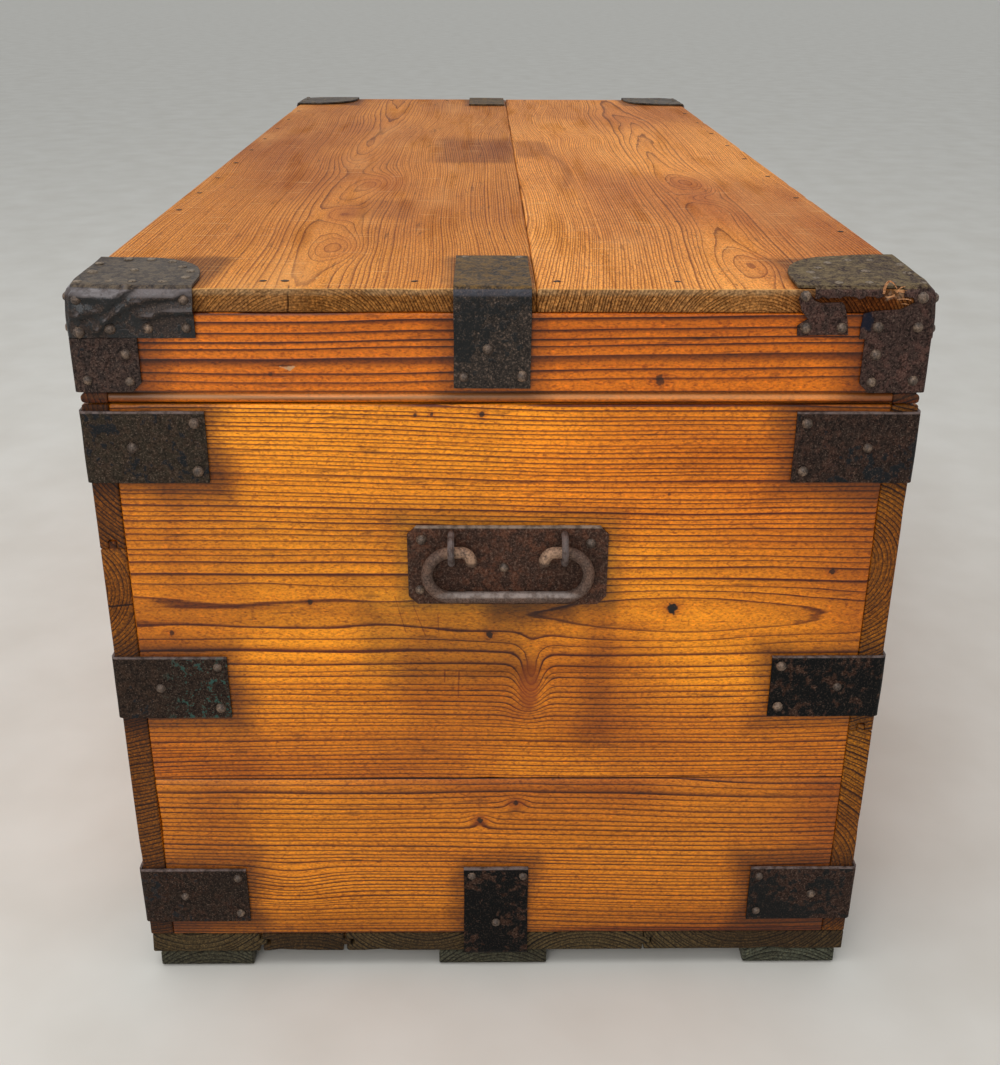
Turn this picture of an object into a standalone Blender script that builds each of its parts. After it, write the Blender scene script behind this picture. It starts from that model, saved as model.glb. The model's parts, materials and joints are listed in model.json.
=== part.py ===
"""A pine campaign trunk bound in iron.

A nailed box of tongued boards stands on three runners. Its deep lid turns on two butt hinges and is held
by a let-in lock with a sliding bolt, and a bail handle swings in two staples at each end.

Metres, +Z up. X runs along the trunk, the front with the lock faces -Y, the hinges are at +Y, and the
origin is on the ground under the middle. "Right" and "left" are as seen from the front.
"""

import math

import bmesh
import bpy
from mathutils import Vector

# Fits: the gap left between pieces that touch, and the play of pieces that move.
SEAT = 0.0003
LID_GAP = 0.0010
PIN_PLAY = 0.0003
BOLT_PLAY = 0.0003
EYE_PLAY = 0.0008
STAPLE_PLAY = 0.0004

# How far a cutter runs past the face that it opens.
OVERRUN = 0.010

# Walls: each one is two boards, an upper and a lower, joined by a tongue.
LENGTH = 1.170
WIDTH = 0.530
WALL_THICK = 0.017
WALL_HEIGHT = 0.423
END_UPPER_HEIGHT = 0.282
FRONT_UPPER_HEIGHT = 0.100
BACK_UPPER_HEIGHT = 0.243
TONGUE_THICK = 0.005
TONGUE_LENGTH = 0.006
EDGE_EASE = 0.0008

# Bottom: boards along the trunk under the walls, with open shrunken joints, on three runners.
FLOOR_THICK = 0.017
FLOOR_JOINTS = (-0.182, -0.118, -0.002, 0.111)
FLOOR_JOINT_GAPS = (0.0025, 0.0025, 0.0006, 0.0008)
RUNNER_THICK = 0.014
RUNNER_ROUND = 0.004
SIDE_RUNNER_WIDTH = 0.071
SIDE_RUNNER_INSET = 0.005
MIDDLE_RUNNER_WIDTH = 0.083
MIDDLE_RUNNER_OFFSET = -0.0045

# Lid: a frame of four rails, beaded along the lower edge, under two boards.
RAIL_HEIGHT = 0.058
BEAD_RADIUS = 0.0032
QUIRK_WIDTH = 0.0013
TOP_THICK = 0.0145
TOP_JOINT_OFFSET = 0.021
TOP_ROUND = 0.0025

# Iron straps, angles and caps.
STRAP_THICK = 0.0016
STRAP_BEND = 0.0030
STRAP_WIDTH = 0.048
STRAP_END_LEG = 0.077
STRAP_SIDE_LEG = 0.085
UPPER_STRAP_DROP = 0.0280
MIDDLE_STRAP_DROP = 0.2050
LOWER_STRAP_RISE = 0.0380
LID_STRAP_OFFSET = -0.006
LID_STRAP_CLEAR = 0.0105
LID_STRAP_BACK = 0.0885
FOOT_STRAP_OFFSET = -0.0025
FOOT_STRAP_RISE = 0.080
FOOT_STRAP_UNDER = 0.045
CAP_LENGTH = 0.0815
CAP_WIDTH = 0.0765
CAP_FLANGE = 0.030
CAP_POWER = 3.1
CAP_STEPS = 9
ANGLE_END_LEG = 0.040
ANGLE_SIDE_LEG = 0.060
ANGLE_CLIP = 0.006

# The cap at the back right corner is larger and torn: its end flange has come away along the fold, and a
# scrap of it is left on the rail. The tear's points are the distance in from the corner and the distance
# below the lid's top. The scrap's outline is measured from the flange's inner end in the same way.
TORN_CAP_LENGTH = 0.0930
TORN_CAP_WIDTH = 0.0840
TEAR = ((0.0190, 0.0035), (0.0130, 0.0045), (0.0120, 0.0075), (0.0158, 0.0095), (0.0205, 0.0117),
        (0.0362, 0.0128), (0.0428, 0.0145), (0.0435, 0.0235))
SCRAP = ((0.0015, 0.0279), (0.0012, 0.0219), (0.0070, 0.0178), (0.0030, 0.0131), (0.0005, 0.0051),
         (0.0020, 0.0020), (0.0070, 0.0022), (0.0102, 0.0065), (0.0142, 0.0079), (0.0275, 0.0073),
         (0.0289, 0.0090), (0.0314, 0.0178), (0.0329, 0.0275))

# Handles: a bail of round rod, open at the top, in two staples on a plate.
PLATE_WIDTH = 0.133
PLATE_HEIGHT = 0.057
PLATE_THICK = 0.0020
PLATE_CHAMFER = 0.006
PLATE_OFFSET = 0.0045
PLATE_DROP = 0.1112
BAIL_RADIUS = 0.0040
BAIL_PIVOT_RISE = 0.0126
BAIL_STANDOFF = 0.0070
BAIL_DROP = 0.0327
BAIL_HOOK_RADIUS = 0.0070
BAIL_HOOK_LEAD = 0.0060
STAPLE_SPAN = 0.0745
STAPLE_WIRE = 0.00235
STAPLE_ABOVE = 0.0115

# Hinges: two butt hinges with five knuckles, let into the edges of the back board and the back rail.
HINGE_SPREAD = 0.720
LEAF_LENGTH = 0.064
LEAF_WIDTH = 0.0145
LEAF_THICK = 0.0020
KNUCKLES = 5
KNUCKLE_RADIUS = 0.0045
KNUCKLE_GAP = 0.0004
PIN_RADIUS = 0.0025
PIN_HEAD_RADIUS = 0.0036
PIN_HEAD_CROWN = 0.0022
PIN_HEAD_HEIGHT = 0.0014

# Lock: a case let into the front board, a link under the front rail, and the bolt that passes through it.
CASE_WIDTH = 0.076
CASE_HEIGHT = 0.050
CASE_DEPTH = 0.012
CASE_WALL = 0.0015
SHELF_THICK = 0.0030
SHELF_WIDTH = 0.024
KEYHOLE_RADIUS = 0.0045
KEYHOLE_SLOT = 0.0050
KEYHOLE_DROP = 0.0130
KEYHOLE_RISE = 0.0230
SELVAGE_THICK = 0.0020
LINK_PLATE_LENGTH = 0.048
LINK_PLATE_WIDTH = 0.0125
LINK_PLATE_THICK = 0.0020
LINK_THICK = 0.0040
LINK_WIDTH = 0.0078
LINK_BAR = 0.0016
LINK_FOOT = 0.0030
LINK_PLAY = 0.0005
BOLT_LENGTH = 0.024
BOLT_HEIGHT = 0.0075
BOLT_DEPTH = 0.0030
BOLT_REACH = 0.0035
TALON_START = 0.015
TALON_WIDTH = 0.006
TALON_DEPTH = 0.003

# Levels and faces that follow from the sizes above.
FLOOR_BASE = RUNNER_THICK + SEAT
WALL_BASE = FLOOR_BASE + FLOOR_THICK + SEAT
WALL_TOP = WALL_BASE + WALL_HEIGHT
LID_BASE = WALL_TOP + LID_GAP
TOP_BASE = LID_BASE + RAIL_HEIGHT + SEAT
HEIGHT = TOP_BASE + TOP_THICK
END = LENGTH / 2
SIDE = WIDTH / 2
SIDE_INNER = SIDE - WALL_THICK
END_INNER = END - WALL_THICK
BEAD_TOP = 2 * BEAD_RADIUS + QUIRK_WIDTH
IRON = SEAT + STRAP_THICK
HINGE_Y = SIDE + KNUCKLE_RADIUS + SEAT
HINGE_Z = (WALL_TOP + LID_BASE) / 2
BAIL_X = END + SEAT + PLATE_THICK + BAIL_STANDOFF
PLATE_Z = WALL_TOP - PLATE_DROP
BAIL_Z = PLATE_Z + BAIL_PIVOT_RISE
STRAP_LEVELS = {
    "upper": WALL_TOP - UPPER_STRAP_DROP,
    "middle": WALL_TOP - MIDDLE_STRAP_DROP,
    "lower": WALL_BASE + LOWER_STRAP_RISE,
}

ENDS = {"right": 1, "left": -1}
SIDES = {"front": -1, "back": 1}


def clear_scene():
    for thing in list(bpy.data.objects):
        bpy.data.objects.remove(thing)


def make_material(name, colour, roughness, metallic=0.0):
    made = bpy.data.materials.new(name)
    made.use_nodes = True
    shader = made.node_tree.nodes["Principled BSDF"]
    shader.inputs["Base Color"].default_value = (*colour, 1)
    shader.inputs["Roughness"].default_value = roughness
    shader.inputs["Metallic"].default_value = metallic
    return made


def pivot(name, place):
    """An empty on a joint's axis, for the moving pieces to hang from."""
    empty = bpy.data.objects.new(name, None)
    empty.location = place
    empty.empty_display_size = 0.05
    bpy.context.scene.collection.objects.link(empty)
    return empty


def finish(name, bm, material, joint=None, smooth=False):
    """Makes an object of a mesh, facing out, with its origin in its middle and hung from its joint."""
    bmesh.ops.recalc_face_normals(bm, faces=bm.faces)
    places = [vertex.co for vertex in bm.verts]
    middle = Vector([(min(p[i] for p in places) + max(p[i] for p in places)) / 2 for i in range(3)])
    bmesh.ops.translate(bm, verts=bm.verts, vec=-middle)
    mesh = bpy.data.meshes.new(name)
    bm.to_mesh(mesh)
    bm.free()
    mesh.materials.append(MATERIALS[material])
    if smooth:
        mesh.shade_smooth()
        mesh.set_sharp_from_angle(angle=math.radians(40))
    made = bpy.data.objects.new(name, mesh)
    bpy.context.scene.collection.objects.link(made)
    made.parent = joint
    made.location = middle - joint.location if joint else middle
    return made


def swept(outline, low, high, along):
    """The mesh of a flat outline swept straight along an axis. The outline is in the other two axes."""
    bm = bmesh.new()
    place = {
        "X": lambda u, v, w: (w, u, v),
        "Y": lambda u, v, w: (u, w, v),
        "Z": lambda u, v, w: (u, v, w),
    }[along]
    rings = [[bm.verts.new(place(u, v, w)) for u, v in outline] for w in (low, high)]
    count = len(outline)
    for i in range(count):
        j = (i + 1) % count
        bm.faces.new((rings[0][i], rings[0][j], rings[1][j], rings[1][i]))
    for ring in rings:
        bm.faces.new(ring)
    return bm


def box(low, high):
    corners = ((low[0], low[1]), (high[0], low[1]), (high[0], high[1]), (low[0], high[1]))
    return swept(corners, low[2], high[2], "Z")


def arc(centre, radius, start, stop, steps):
    """Points on an arc, with its angles in degrees."""
    turns = [math.radians(start + (stop - start) * i / steps) for i in range(steps + 1)]
    return [(centre[0] + radius * math.cos(t), centre[1] + radius * math.sin(t)) for t in turns]


def tube(path, normal, radius, sides):
    """The mesh of a round rod along a flat path, closed at both ends."""
    bm = bmesh.new()
    rings = []
    for i, point in enumerate(path):
        before = path[max(i - 1, 0)]
        after = path[min(i + 1, len(path) - 1)]
        across = normal.cross((after - before).normalized())
        ring = []
        for k in range(sides):
            turn = math.tau * (k + 0.5) / sides
            ring.append(bm.verts.new(point + radius * (math.cos(turn) * normal + math.sin(turn) * across)))
        rings.append(ring)
    for first, second in zip(rings, rings[1:]):
        for k in range(sides):
            bm.faces.new((first[k], first[k - 1], second[k - 1], second[k]))
    bm.faces.new(rings[0])
    bm.faces.new(rings[-1])
    return bm


def cutter(name, bm):
    helper = finish(name, bm, "helper")
    helper.hide_render = True
    helper.display_type = "WIRE"
    return helper


def combine(made, helper, operation):
    boolean = made.modifiers.new(helper.name, "BOOLEAN")
    boolean.operation = operation
    boolean.solver = "EXACT"
    boolean.object = helper


def cut(made, name, bm):
    combine(made, cutter(name, bm), "DIFFERENCE")


def join(made, name, bm):
    combine(made, cutter(name, bm), "UNION")


def ease(made, width):
    bevel = made.modifiers.new("eased edges", "BEVEL")
    bevel.width = width
    bevel.segments = 1
    bevel.limit_method = "ANGLE"
    bevel.angle_limit = math.radians(50)


def board_outline(outer, inner, base, top, tongue=False, groove=False):
    """A board's section, across its thickness and up: tongue on the top edge, groove in the bottom one."""
    middle = (outer + inner) / 2
    way = 1 if inner > outer else -1
    slot = way * (TONGUE_THICK / 2 + SEAT)
    half = way * TONGUE_THICK / 2
    points = [(outer, base)]
    if groove:
        points += [(middle - slot, base), (middle - slot, base + TONGUE_LENGTH + SEAT)]
        points += [(middle + slot, base + TONGUE_LENGTH + SEAT), (middle + slot, base)]
    points += [(inner, base), (inner, top)]
    if tongue:
        points += [(middle + half, top), (middle + half, top + TONGUE_LENGTH - SEAT)]
        points += [(middle - half, top + TONGUE_LENGTH - SEAT), (middle - half, top)]
    return points + [(outer, top)]


def bent_outline(leg_a, leg_b):
    """A strip bent round the corner of the wood, which lies at minus a and minus b from the origin."""
    turn = (IRON - STRAP_BEND, IRON - STRAP_BEND)
    points = [(SEAT, -leg_b), (IRON, -leg_b)]
    points += arc(turn, STRAP_BEND, 0, 90, 3)
    return points + [(-leg_a, IRON), (-leg_a, SEAT), (SEAT, SEAT)]


def placed(outline, corner, signs):
    """A corner outline moved to a corner of the trunk and turned to face out of it."""
    return [(corner[0] + signs[0] * a, corner[1] + signs[1] * b) for a, b in outline]


def make_walls():
    uppers = {"end": END_UPPER_HEIGHT, "front": FRONT_UPPER_HEIGHT, "back": BACK_UPPER_HEIGHT}
    walls = {}
    for side, sign in SIDES.items():
        joint = WALL_TOP - uppers[side]
        faces = (sign * SIDE, sign * SIDE_INNER)
        upper = board_outline(*faces, joint, WALL_TOP, groove=True)
        lower = board_outline(*faces, WALL_BASE, joint - SEAT, tongue=True)
        for level, outline in (("upper", upper), ("lower", lower)):
            name = f"{side}_{level}"
            walls[name] = finish(name, swept(outline, -END, END, "X"), "pine")
    reach = SIDE_INNER - SEAT
    for end, sign in ENDS.items():
        joint = WALL_TOP - uppers["end"]
        faces = (sign * END, sign * END_INNER)
        upper = board_outline(*faces, joint, WALL_TOP, groove=True)
        lower = board_outline(*faces, WALL_BASE, joint - SEAT, tongue=True)
        for level, outline in (("upper", upper), ("lower", lower)):
            name = f"end_{end}_{level}"
            walls[name] = finish(name, swept(outline, -reach, reach, "Y"), "pine")
    for made in walls.values():
        ease(made, EDGE_EASE)
    return walls


def make_floor():
    """Boards joined by tongues, each joint open by its own shrinkage."""
    base = FLOOR_BASE
    top = FLOOR_BASE + FLOOR_THICK
    middle = (base + top) / 2
    half = TONGUE_THICK / 2
    slot = half + SEAT
    gaps = (0, *FLOOR_JOINT_GAPS)
    starts = (-SIDE, *FLOOR_JOINTS)
    stops = (*FLOOR_JOINTS, SIDE)
    for i, (start, stop) in enumerate(zip(starts, stops)):
        low = start + gaps[i] / 2
        last = i == len(starts) - 1
        high = stop if last else stop - gaps[i + 1] / 2
        points = [(low, base), (high, base)]
        if not last:
            tip = high + TONGUE_LENGTH - SEAT
            points += [(high, middle - half), (tip, middle - half)]
            points += [(tip, middle + half), (high, middle + half)]
        points += [(high, top), (low, top)]
        if i:
            bottom = low + TONGUE_LENGTH + SEAT
            points += [(low, middle + slot), (bottom, middle + slot)]
            points += [(bottom, middle - slot), (low, middle - slot)]
        board = finish(f"floor_{i + 1}", swept(points, -END, END, "X"), "floor")
        ease(board, EDGE_EASE)


def make_runners():
    """Three runners with their lower ends rounded. The middle one is let over the foot straps."""
    edge = SIDE - SIDE_RUNNER_INSET
    middle = MIDDLE_RUNNER_WIDTH / 2
    spans = {
        "front": (-edge, -edge + SIDE_RUNNER_WIDTH),
        "middle": (MIDDLE_RUNNER_OFFSET - middle, MIDDLE_RUNNER_OFFSET + middle),
        "back": (edge - SIDE_RUNNER_WIDTH, edge),
    }
    outline = arc((-END + RUNNER_ROUND, RUNNER_ROUND), RUNNER_ROUND, 180, 270, 3)
    outline += arc((END - RUNNER_ROUND, RUNNER_ROUND), RUNNER_ROUND, 270, 360, 3)
    outline += [(END, RUNNER_THICK), (-END, RUNNER_THICK)]
    for name, (low, high) in spans.items():
        made = finish(f"runner_{name}", swept(outline, low, high, "Y"), "runner")
        if name != "middle":
            continue
        half = STRAP_WIDTH / 2 + SEAT
        depth = FLOOR_BASE - IRON - SEAT
        for end, sign in ENDS.items():
            inner = sign * (END - FOOT_STRAP_UNDER - SEAT)
            outer = sign * (END + OVERRUN)
            low_corner = (min(inner, outer), FOOT_STRAP_OFFSET - half, depth)
            high_corner = (max(inner, outer), FOOT_STRAP_OFFSET + half, RUNNER_THICK + OVERRUN)
            cut(made, f"strap recess {end}", box(low_corner, high_corner))


def rail_outline(outer, inner):
    """A lid rail's section: a bead below a quirk on the outer face, plain inside."""
    way = 1 if inner > outer else -1
    bead = arc((BEAD_RADIUS, BEAD_RADIUS), BEAD_RADIUS, 270, 100, 6)
    back = abs(inner - outer)
    points = [(back, 0), *bead, (bead[-1][0], BEAD_TOP - QUIRK_WIDTH / 3), (0, BEAD_TOP + QUIRK_WIDTH / 3)]
    points += [(0, RAIL_HEIGHT), (back, RAIL_HEIGHT)]
    return [(outer + way * u, LID_BASE + v) for u, v in points]


def make_lid(joint):
    rails = {}
    for side, sign in SIDES.items():
        outline = rail_outline(sign * SIDE, sign * SIDE_INNER)
        name = f"lid_rail_{side}"
        rails[side] = finish(name, swept(outline, -END, END, "X"), "pine", joint)
    reach = SIDE_INNER - SEAT
    for end, sign in ENDS.items():
        outline = rail_outline(sign * END, sign * END_INNER)
        finish(f"lid_rail_{end}", swept(outline, -reach, reach, "Y"), "pine", joint)
    turn = HEIGHT - TOP_ROUND
    meeting = TOP_JOINT_OFFSET
    front = [(meeting - SEAT / 2, TOP_BASE), (meeting - SEAT / 2, HEIGHT)]
    front += arc((-SIDE + TOP_ROUND, turn), TOP_ROUND, 90, 180, 2) + [(-SIDE, TOP_BASE)]
    back = [(meeting + SEAT / 2, TOP_BASE), (SIDE, TOP_BASE)]
    back += arc((SIDE - TOP_ROUND, turn), TOP_ROUND, 0, 90, 2) + [(meeting + SEAT / 2, HEIGHT)]
    for side, outline in (("front", front), ("back", back)):
        board = finish(f"lid_top_{side}", swept(outline, -END, END, "X"), "lid pine", joint)
        ease(board, EDGE_EASE)
    return rails


def clip_ends(bm, sx, sy, base):
    """Clips the lower corner off both ends of a lid angle."""
    corners = []
    for edge in bm.edges:
        low = all(abs(v.co.z - base) < SEAT / 2 for v in edge.verts)
        end_tip = all(abs(v.co.y * sy - SIDE + ANGLE_END_LEG) < SEAT / 2 for v in edge.verts)
        side_tip = all(abs(v.co.x * sx - END + ANGLE_SIDE_LEG) < SEAT / 2 for v in edge.verts)
        if low and (end_tip or side_tip):
            corners.append(edge)
    bmesh.ops.bevel(bm, geom=corners, offset=ANGLE_CLIP, segments=1, affect="EDGES")


def make_straps(lid_joint):
    corner_outline = bent_outline(STRAP_END_LEG, STRAP_SIDE_LEG)
    swapped = [(b, a) for a, b in corner_outline]
    half = STRAP_WIDTH / 2
    for side, sy in SIDES.items():
        for end, sx in ENDS.items():
            outline = placed(swapped, (sx * END, sy * SIDE), (sx, sy))
            for level, height in STRAP_LEVELS.items():
                name = f"strap_{side}_{end}_{level}"
                finish(name, swept(outline, height - half, height + half, "Z"), "iron")
            angle = [(b, a) for a, b in bent_outline(ANGLE_END_LEG, ANGLE_SIDE_LEG)]
            angle = placed(angle, (sx * END, sy * SIDE), (sx, sy))
            base = LID_BASE + BEAD_TOP + SEAT
            top = HEIGHT - CAP_FLANGE - SEAT
            bm = swept(angle, base, top, "Z")
            clip_ends(bm, sx, sy, base)
            finish(f"lid_angle_{side}_{end}", bm, "iron", lid_joint)
    for end, sx in ENDS.items():
        drop = HEIGHT - LID_BASE - LID_STRAP_CLEAR
        over = placed(bent_outline(LID_STRAP_BACK, drop), (sx * END, HEIGHT), (sx, 1))
        ends = (LID_STRAP_OFFSET - half, LID_STRAP_OFFSET + half)
        finish(f"lid_strap_{end}", swept(over, *ends, "Y"), "iron", lid_joint)
        under = placed(bent_outline(FOOT_STRAP_UNDER, FOOT_STRAP_RISE), (sx * END, FLOOR_BASE), (sx, -1))
        ends = (FOOT_STRAP_OFFSET - half, FOOT_STRAP_OFFSET + half)
        finish(f"foot_strap_{end}", swept(under, *ends, "Y"), "iron")


def cap_mesh(sx, sy, length, width):
    """A block with the cap's plan and rounded outer edges. Taking the lid's corner away leaves the cap."""
    curve = []
    for i in range(CAP_STEPS + 1):
        turn = math.pi / 2 * i / CAP_STEPS
        a = -length * math.sin(turn) ** (2 / CAP_POWER)
        b = -width * math.cos(turn) ** (2 / CAP_POWER)
        curve.append((a, b))
    plan = [(IRON, IRON), (IRON, -width), *curve, (-length, IRON)]
    bm = swept(placed(plan, (sx * END, sy * SIDE), (sx, sy)), HEIGHT - CAP_FLANGE, HEIGHT + IRON, "Z")
    bmesh.ops.recalc_face_normals(bm, faces=bm.faces)
    outer = []
    for edge in bm.edges:
        at_end = all(abs(v.co.x * sx - END - IRON) < 1e-6 for v in edge.verts)
        at_side = all(abs(v.co.y * sy - SIDE - IRON) < 1e-6 for v in edge.verts)
        at_top = all(abs(v.co.z - HEIGHT - IRON) < 1e-6 for v in edge.verts)
        if at_end + at_side + at_top == 2:
            outer.append(edge)
    bmesh.ops.bevel(bm, geom=outer, offset=STRAP_BEND, segments=2, profile=0.5, affect="EDGES")
    return bm


def tear_outline():
    """What is missing from the torn flange: all of it inside the ragged line."""
    top = HEIGHT + IRON + OVERRUN
    foot = HEIGHT - CAP_FLANGE - OVERRUN
    inner = SIDE - TORN_CAP_WIDTH - OVERRUN
    ragged = [(SIDE - a, HEIGHT - b) for a, b in TEAR]
    return [(ragged[0][0], top), *ragged, (ragged[-1][0], foot), (inner, foot), (inner, top)]


def make_caps(joint):
    for side, sy in SIDES.items():
        for end, sx in ENDS.items():
            torn = (side, end) == ("back", "right")
            length = TORN_CAP_LENGTH if torn else CAP_LENGTH
            width = TORN_CAP_WIDTH if torn else CAP_WIDTH
            cap = finish(f"lid_cap_{side}_{end}", cap_mesh(sx, sy, length, width), "iron", joint, smooth=True)
            far_x = END - length - OVERRUN
            far_y = SIDE - width - OVERRUN
            far = (sx * far_x, sy * far_y, HEIGHT - CAP_FLANGE - OVERRUN)
            near = (sx * (END + SEAT), sy * (SIDE + SEAT), HEIGHT + SEAT)
            low = [min(pair) for pair in zip(far, near)]
            high = [max(pair) for pair in zip(far, near)]
            cut(cap, f"lid corner {side} {end}", box(low, high))
            if torn:
                cut(cap, "tear", swept(tear_outline(), END - IRON, END + OVERRUN, "X"))
    scrap = [(SIDE - TORN_CAP_WIDTH + a, HEIGHT - b) for a, b in SCRAP]
    finish("lid_cap_scrap", swept(scrap, END + SEAT, END + IRON, "X"), "iron", joint)


def bail_path(x, y):
    """The bail from tip to tip: one half is its hook, lead and bend, and the other half mirrors it."""
    half = STAPLE_SPAN / 2
    bend = BAIL_DROP / 2
    hook = arc((half - BAIL_HOOK_LEAD, -BAIL_HOOK_RADIUS), BAIL_HOOK_RADIUS, 195, 90, 6)
    side = arc((half, -bend), bend, 90, -90, 12)
    right = hook + side
    left = [(-s, v) for s, v in reversed(right)]
    return [Vector((x, y + s, BAIL_Z + v)) for s, v in right + left]


def make_handle(end, sx, joint):
    width = PLATE_WIDTH / 2
    height = PLATE_HEIGHT / 2
    corner = PLATE_CHAMFER
    quarter = [(width, height - corner), (width - corner, height)]
    outline = quarter + [(-s, v) for s, v in reversed(quarter)]
    outline += [(-s, -v) for s, v in quarter] + [(s, -v) for s, v in reversed(quarter)]
    outline = [(PLATE_OFFSET + s, PLATE_Z + v) for s, v in outline]
    faces = sorted((sx * (END + SEAT), sx * (END + SEAT + PLATE_THICK)))
    plate = finish(f"handle_plate_{end}", swept(outline, *faces, "X"), "handle")
    below = BAIL_RADIUS + STAPLE_WIRE + STAPLE_PLAY
    bend = (STAPLE_ABOVE + below) / 2
    root = SEAT + PLATE_THICK / 2
    straight = BAIL_STANDOFF + PLATE_THICK + SEAT - root
    curve = arc((0, 0), bend, 90, -90, 8)
    for name, sign in (("first", -1), ("second", 1)):
        y = PLATE_OFFSET + sign * STAPLE_SPAN / 2
        middle = BAIL_Z + (STAPLE_ABOVE - below) / 2
        flat = [(0, bend), *[(straight + u, v) for u, v in curve], (0, -bend)]
        path = [Vector((sx * (END + root + u), y, middle + v)) for u, v in flat]
        join(plate, f"{name} staple {end}", tube(path, Vector((0, 1, 0)), STAPLE_WIRE, 8))
    path = bail_path(sx * BAIL_X, PLATE_OFFSET)
    rod = tube(path, Vector((1, 0, 0)), BAIL_RADIUS, 10)
    finish(f"bail_{end}", rod, "handle", joint, smooth=True)


def knuckle_outline(low, high):
    """A knuckle and the tongue that joins it to its leaf, between two heights about the pin."""
    start = -(LEAF_WIDTH / 2 + KNUCKLE_RADIUS)
    angle_low = math.degrees(math.asin(low / KNUCKLE_RADIUS))
    angle_high = math.degrees(math.asin(high / KNUCKLE_RADIUS))
    ring = arc((0, 0), KNUCKLE_RADIUS, -180 - angle_low, 180 - angle_high, 18)
    points = [(start, low), *ring, (start, high)]
    return [(HINGE_Y + u, HINGE_Z + v) for u, v in points]


def make_hinge(end, sx, back_board, back_rail, joint):
    middle = sx * HINGE_SPREAD / 2
    low = middle - LEAF_LENGTH / 2
    high = middle + LEAF_LENGTH / 2
    inner = SIDE - LEAF_WIDTH
    edge = HINGE_Y - KNUCKLE_RADIUS - KNUCKLE_GAP
    gain_low = (low - SEAT, inner - SEAT, WALL_TOP - LEAF_THICK - SEAT)
    cut(back_board, f"hinge gain {end}", box(gain_low, (high + SEAT, SIDE + OVERRUN, WALL_TOP + OVERRUN)))
    gain_high = (high + SEAT, SIDE + OVERRUN, LID_BASE + LEAF_THICK + SEAT)
    cut(back_rail, f"rail gain {end}", box((low - SEAT, inner - SEAT, LID_BASE - OVERRUN), gain_high))
    leaves = {
        "body": (WALL_TOP - LEAF_THICK, WALL_TOP, 0, None),
        "lid": (LID_BASE, LID_BASE + LEAF_THICK, 1, joint),
    }
    pitch = LEAF_LENGTH / KNUCKLES
    bore = arc((HINGE_Y, HINGE_Z), PIN_RADIUS + PIN_PLAY, 0, 345, 23)
    for kind, (base, top, first, hung) in leaves.items():
        plate = box((low, inner, base), (high, edge, top))
        leaf = finish(f"hinge_{kind}_leaf_{end}", plate, "fittings", hung)
        outline = knuckle_outline(base - HINGE_Z, top - HINGE_Z)
        for i in range(first, KNUCKLES, 2):
            start = low + i * pitch + (KNUCKLE_GAP / 2 if i else 0)
            stop = low + (i + 1) * pitch - (KNUCKLE_GAP / 2 if i < KNUCKLES - 1 else 0)
            join(leaf, f"knuckle {kind} {end} {i}", swept(outline, start, stop, "X"))
        cut(leaf, f"bore {kind} {end}", swept(bore, low - OVERRUN, high + OVERRUN, "X"))
    reach = LEAF_LENGTH / 2 + SEAT
    head = [(reach + PIN_HEAD_HEIGHT, PIN_HEAD_CROWN), (reach, PIN_HEAD_RADIUS), (reach, PIN_RADIUS)]
    profile = [(-x, radius) for x, radius in head] + head[::-1]
    pin = turned([(middle + x, radius) for x, radius in profile], HINGE_Y, HINGE_Z, 16)
    finish(f"hinge_pin_{end}", pin, "fittings", smooth=True)


def turned(profile, y, z, sides):
    """The mesh of a profile, places along X with their radii, turned about a line along X and closed."""
    bm = bmesh.new()
    turns = [math.tau * k / sides for k in range(sides)]
    rings = []
    for x, radius in profile:
        rings.append([bm.verts.new((x, y + radius * math.cos(t), z + radius * math.sin(t))) for t in turns])
    for first, second in zip(rings, rings[1:]):
        for k in range(sides):
            bm.faces.new((first[k], first[k - 1], second[k - 1], second[k]))
    bm.faces.new(rings[0])
    bm.faces.new(rings[-1])
    return bm


def keyhole_outline(centre):
    """A round hole over a slot, for a key with one bit."""
    half = KEYHOLE_SLOT / 2
    slot = math.degrees(math.asin(half / KEYHOLE_RADIUS))
    foot = centre - KEYHOLE_DROP
    return arc((0, centre), KEYHOLE_RADIUS, slot - 90, 270 - slot, 12) + [(-half, foot), (half, foot)]


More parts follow.
